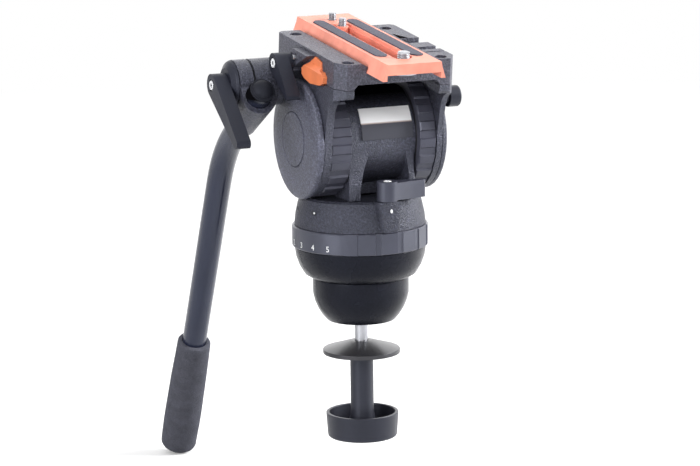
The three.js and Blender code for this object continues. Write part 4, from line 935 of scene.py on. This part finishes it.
def seen_directly(tree):
    """1 for rays that show the surroundings, 0 for the light that falls on the object."""
    path = tree.nodes.new("ShaderNodeLightPath")
    seen = path.outputs["Is Camera Ray"]
    for kind in ("Is Glossy Ray", "Is Transmission Ray"):
        seen = arithmetic(tree, "MAXIMUM", seen, path.outputs[kind])
    return seen


def plain(tree, kind, colour, strength=None):
    """Output of a shader node of one colour."""
    n = tree.nodes.new(kind)
    n.inputs["Color"].default_value = (*colour, 1)
    if strength is not None:
        n.inputs["Strength"].default_value = strength
    return n.outputs[0]


def blend(tree, fac, first, second):
    n = tree.nodes.new("ShaderNodeMixShader")
    tree.links.new(fac, n.inputs[0])
    tree.links.new(first, n.inputs[1])
    tree.links.new(second, n.inputs[2])
    return n.outputs[0]


def floor_material():
    """White to the camera, with the object's shadow near it, and darker for the light it throws back."""
    m = bpy.data.materials.new("floor")
    m.use_nodes = True
    tree = m.node_tree
    tree.nodes.clear()
    source = tree.nodes.new("ShaderNodeTexCoord")
    length = tree.nodes.new("ShaderNodeVectorMath")
    length.operation = "LENGTH"
    tree.links.new(source.outputs["Object"], length.inputs[0])
    fade = ranged(tree, length.outputs["Value"], NEAR_FLOOR, FAR_FLOOR)
    near = plain(tree, "ShaderNodeBsdfDiffuse", WHITE)
    far = plain(tree, "ShaderNodeEmission", WHITE, 1.0)
    lit = plain(tree, "ShaderNodeBsdfDiffuse", (0.12, 0.12, 0.12))
    surface = blend(tree, seen_directly(tree), lit, blend(tree, fade, near, far))
    out = tree.nodes.new("ShaderNodeOutputMaterial")
    tree.links.new(surface, out.inputs["Surface"])
    return m


def floor(z):
    mesh = bpy.data.meshes.new("floor")
    s = FLOOR_HALF
    mesh.from_pydata([(-s, -s, z), (s, -s, z), (s, s, z), (-s, s, z)], [], [(0, 1, 2, 3)])
    mesh.materials.append(floor_material())
    obj = bpy.data.objects.new("floor", mesh)
    bpy.context.scene.collection.objects.link(obj)


def surroundings():
    """White where it is seen, and a weak even light on the object."""
    world = bpy.data.worlds.new("studio")
    world.use_nodes = True
    tree = world.node_tree
    tree.nodes.clear()
    seen = plain(tree, "ShaderNodeBackground", WHITE, 1.0)
    lit = plain(tree, "ShaderNodeBackground", (0.95, 0.97, 1), 0.05)
    out = tree.nodes.new("ShaderNodeOutputWorld")
    tree.links.new(blend(tree, seen_directly(tree), lit, seen), out.inputs["Surface"])
    bpy.context.scene.world = world


def lamp(name, where, target, width, height, power):
    data = bpy.data.lights.new(name, "AREA")
    data.shape = "RECTANGLE"
    data.size = width
    data.size_y = height
    data.energy = power
    obj = bpy.data.objects.new(name, data)
    obj.location = where
    obj.rotation_mode = "QUATERNION"
    obj.rotation_quaternion = (Vector(target) - Vector(where)).to_track_quat("-Z", "Y")
    bpy.context.scene.collection.objects.link(obj)


# Camera, fitted to the photograph

AZIMUTH = math.radians(-23.4)
ELEVATION = math.radians(10.67)
ROLL = math.radians(-0.75)
DISTANCE = 2.3073
SIDE_SHIFT = -0.0078
AIM_Z = 0.0402
LENS = 154.29
SENSOR = 36


def camera():
    east = math.sin(AZIMUTH) * math.cos(ELEVATION)
    south = -math.cos(AZIMUTH) * math.cos(ELEVATION)
    back = Vector((east, south, math.sin(ELEVATION)))
    right = Vector((math.cos(AZIMUTH), math.sin(AZIMUTH), 0))
    up = back.cross(right)
    rolled_right = right * math.cos(ROLL) + up * math.sin(ROLL)
    rolled_up = up * math.cos(ROLL) - right * math.sin(ROLL)
    data = bpy.data.cameras.new("camera")
    data.sensor_width = SENSOR
    data.sensor_fit = "HORIZONTAL"
    data.lens = LENS
    data.clip_start = 0.05
    data.clip_end = 60
    obj = bpy.data.objects.new("camera", data)
    place = Vector((0, 0, AIM_Z)) + right * SIDE_SHIFT + back * DISTANCE
    turn = Matrix((rolled_right, rolled_up, back)).transposed().to_4x4()
    obj.matrix_world = Matrix.Translation(place) @ turn
    bpy.context.scene.collection.objects.link(obj)
    bpy.context.scene.camera = obj


surroundings()
bpy.context.scene.view_settings.view_transform = "Standard"
floor(cad_box[0][2] - FLOOR_GAP)
for name, values in LAMPS.items():
    lamp(name, *values)
camera()
